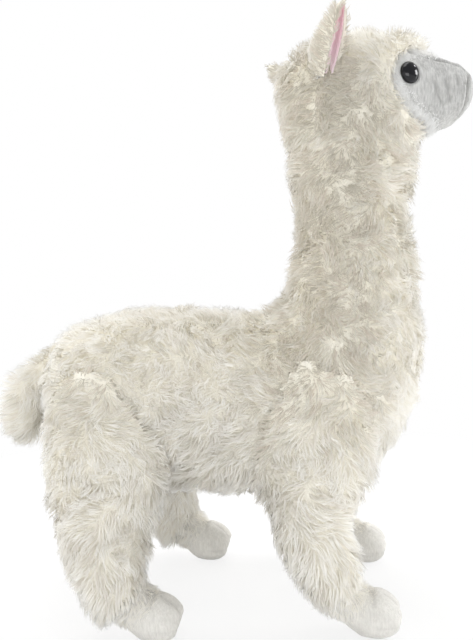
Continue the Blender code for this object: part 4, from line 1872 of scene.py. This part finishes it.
@dataclass
class Studio:
    """A white floor, soft lamps and the camera at the photograph's angle.

    Each lamp is its place, its width and its power in watts.
    """

    focal: float = 48.6
    camera_place: tuple = (0.0663, -0.7193, 0.2935)
    yaw: float = math.radians(5.0)
    pitch: float = math.radians(4.63)
    roll: float = math.radians(-2.0)
    floor: float = 6.0
    aim: tuple = (0.02, 0.0, 0.25)
    all_round: float = 0.48
    lamps: dict = field(
        default_factory=lambda: {
            "key": ((1.38, 0.15, 0.68), 0.45, 7.2),
            "top": ((-0.2, 0.1, 1.45), 1.2, 12.0),
            "fill": ((-0.7, -1.25, 0.22), 1.1, 1.6),
            "low": ((0.22, -1.0, 0.06), 0.8, 5.8),
            "left": ((-1.4, 0.25, 0.4), 1.2, 11.0),
            "back": ((-0.3, 1.4, 0.6), 1.4, 9.0),
            "rim": ((1.3, 0.75, 0.25), 1.0, 7.0),
            "catch": ((1.07, 0.45, 1.2), 0.13, 1.2),
        }
    )

    def build(self) -> None:
        """Adds everything that isn't part of the toy."""
        self.add_floor()
        self.add_world()
        for name, (place, size, power) in self.lamps.items():
            self.add_light(name, place, size, power)
        self.add_camera()

    def add_floor(self) -> None:
        """A wide plane just under the feet."""
        mesh = bpy.data.meshes.new("floor")
        half = self.floor / 2
        corners = [(-half, -half, 0), (half, -half, 0), (half, half, 0), (-half, half, 0)]
        mesh.from_pydata(corners, [], [(0, 1, 2, 3)])
        mesh.materials.append(FloorFinish().build())
        floor = bpy.data.objects.new("floor", mesh)
        floor.location.z = -0.2 * MM
        bpy.context.scene.collection.objects.link(floor)

    def add_world(self) -> None:
        """Even pale light from all round, seen by the camera as plain white."""
        world = bpy.data.worlds.new("studio")
        world.use_nodes = True
        bpy.context.scene.world = world
        tree = world.node_tree
        tree.nodes.clear()
        path = tree.nodes.new("ShaderNodeLightPath")
        seen = tree.nodes.new("ShaderNodeBackground")
        seen.inputs["Strength"].default_value = 1.0
        seen.inputs["Color"].default_value = (1, 1, 1, 1)
        lit = tree.nodes.new("ShaderNodeBackground")
        lit.inputs["Strength"].default_value = self.all_round
        lit.inputs["Color"].default_value = (1, 1, 1, 1)
        mix = tree.nodes.new("ShaderNodeMixShader")
        output = tree.nodes.new("ShaderNodeOutputWorld")
        tree.links.new(path.outputs["Is Camera Ray"], mix.inputs[0])
        tree.links.new(lit.outputs[0], mix.inputs[1])
        tree.links.new(seen.outputs[0], mix.inputs[2])
        tree.links.new(mix.outputs[0], output.inputs["Surface"])

    def add_light(self, name: str, place: tuple, size: float, power: float) -> None:
        """A square soft lamp aimed at the middle of the toy.

        Args:
            name: Its name.
            place: Its middle.
            size: Its width.
            power: Its power in watts.
        """
        lamp = bpy.data.lights.new(name, "AREA")
        lamp.shape = "SQUARE"
        lamp.size = size
        lamp.energy = power
        made = bpy.data.objects.new(name, lamp)
        made.location = place
        aim = Vector(self.aim) - Vector(place)
        made.rotation_euler = aim.to_track_quat("-Z", "Y").to_euler()
        bpy.context.scene.collection.objects.link(made)

    def add_camera(self) -> None:
        """The camera: turned by yaw about Z, pitched down, then rolled about its own axis."""
        data = bpy.data.cameras.new("camera")
        data.sensor_width = 36.0
        data.lens = self.focal
        made = bpy.data.objects.new("camera", data)
        turn = (
            Matrix.Rotation(self.yaw, 4, "Z")
            @ Matrix.Rotation(math.pi / 2 - self.pitch, 4, "X")
            @ Matrix.Rotation(self.roll, 4, "Z")
        )
        made.matrix_world = Matrix.Translation(self.camera_place) @ turn
        bpy.context.scene.collection.objects.link(made)
        bpy.context.scene.camera = made


LEGS = ("rear_right", "rear_left", "front_right", "front_left")
EARS = ("right_ear", "left_ear")


def body_bag() -> FurBag:
    """The body's bag, whose pile lies over the hems of all that is sewn to it.

    Returns:
        The bag.
    """
    legs = tuple(name + "_leg" for name in LEGS)
    ears = tuple(name + end for end in ("_back", "_lining") for name in EARS)
    return FurBag(
        "body",
        Pile(Comb.BODY, seed=1),
        grid=5 * MM,
        neighbours=(*legs, *ears, "muzzle", "tail"),
        hems={"muzzle": (9 * MM, 0.75, 0.3), "tail": (9 * MM, 0.7, 0.5)}
        | {name: (8 * MM, 0.6, 0.3) for name in legs},
        parts={
            "rump_pile": (-1.0, 0.155),
            "shoulder_pile": (0.155, 0.27),
            "neck_pile": (0.27, 0.425),
            "head_pile": (0.425, 1.0),
        },
    )


def fur_bags() -> list[FurBag]:
    """Every bag of long-piled cloth with the pile it wears.

    Returns:
        The bags in the order in which they are made.
    """
    bags = [body_bag()]
    for number, name in enumerate(LEGS):
        pile = Pile(Comb.LEG, length=14 * MM, swirl=1.1, curl=1.0, seed=11 + number)
        near = ("body", name + "_foot")
        hems = {"body": (15 * MM, 0.9, 0.85)}
        bags.append(FurBag(name + "_leg", pile, 4 * MM, 5 * MM, neighbours=near, hems=hems))
    tail = Pile(Comb.TAIL, length=15 * MM, swirl=0.7, curl=0.8, seed=21)
    hems = {"body": (12 * MM, 0.8, 0.8)}
    bags.append(FurBag("tail", tail, 3.2 * MM, 5 * MM, neighbours=("body",), hems=hems))
    for number, name in enumerate(EARS):
        near = ("body", name + "_lining")
        pile = Pile(
            Comb.EAR,
            density=420000.0,
            length=8 * MM,
            width=0.7 * MM,
            tuft=14 * MM,
            lock=4 * MM,
            swirl=0.3,
            curl=0.35,
            seed=31 + number,
        )
        bags.append(
            EarBag(
                name + "_back",
                pile,
                grid=1.5 * MM,
                depth=1.6 * MM,
                smoothing=3,
                neighbours=near,
                margin=2 * MM,
            )
        )
    return bags


def cheek_fluff() -> EdgePile:
    """The fluffed edge of the face's short pile, clear of the eyes.

    Returns:
        The pile.
    """
    pile = Pile(
        Comb.CHEEK,
        density=560000.0,
        length=8.5 * MM,
        width=0.6 * MM,
        tuft=8 * MM,
        lock=2.5 * MM,
        swirl=0.4,
        seed=51,
    )
    eyes = ("right_eye", "left_eye")
    return EdgePile("muzzle", pile, grid=2 * MM, depth=0.8 * MM, clear=eyes, slot="velboa")


def ankle_fluff(name: str, number: int) -> EdgePile:
    """The fluffed edge of a foot's short pile, below the leg's long pile.

    Args:
        name: Which leg.
        number: Its place in the order, which chooses the random draws.

    Returns:
        The pile.
    """
    pile = Pile(
        Comb.LEG,
        density=440000.0,
        length=9 * MM,
        width=0.6 * MM,
        tuft=9 * MM,
        lock=3 * MM,
        swirl=0.5,
        seed=61 + number,
    )
    return EdgePile(
        name + "_foot",
        pile,
        grid=2.5 * MM,
        depth=0.8 * MM,
        beside=name + "_leg",
        reach=15 * MM,
        slot="velboa",
    )


def main() -> None:
    """Builds and dresses every piece, then the studio."""
    logging.basicConfig(level=logging.INFO, format="%(name)s: %(message)s")
    bpy.context.scene.view_settings.view_transform = "Standard"
    backing, fibre = BackingFinish().build(), PileFinish().build()
    for bag in fur_bags():
        bag.build(backing, fibre)
    cloth = FACE_CLOTH.build()
    Face().build(cloth)
    cheek_fluff().build(cloth, CHEEK_FLUFF.build())
    cloth, fluff = WHITE_CLOTH.build(), ANKLE_FLUFF.build()
    for number, name in enumerate(LEGS):
        Foot(name).build(cloth)
        ankle_fluff(name, number).build(cloth, fluff)
    pink, gloss, moulded = PINK_CLOTH.build(), GlossFinish().build(), MouldedFinish().build()
    for side in Side:
        Lining(side).build(pink)
        Eye(side).build(gloss)
        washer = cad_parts[side.name.lower() + "_eye_washer"]
        washer.data.materials.clear()
        washer.data.materials.append(moulded)
        log.info("%s: in white plastic", washer.name)
    Studio().build()


if __name__ == "__main__":
    main()
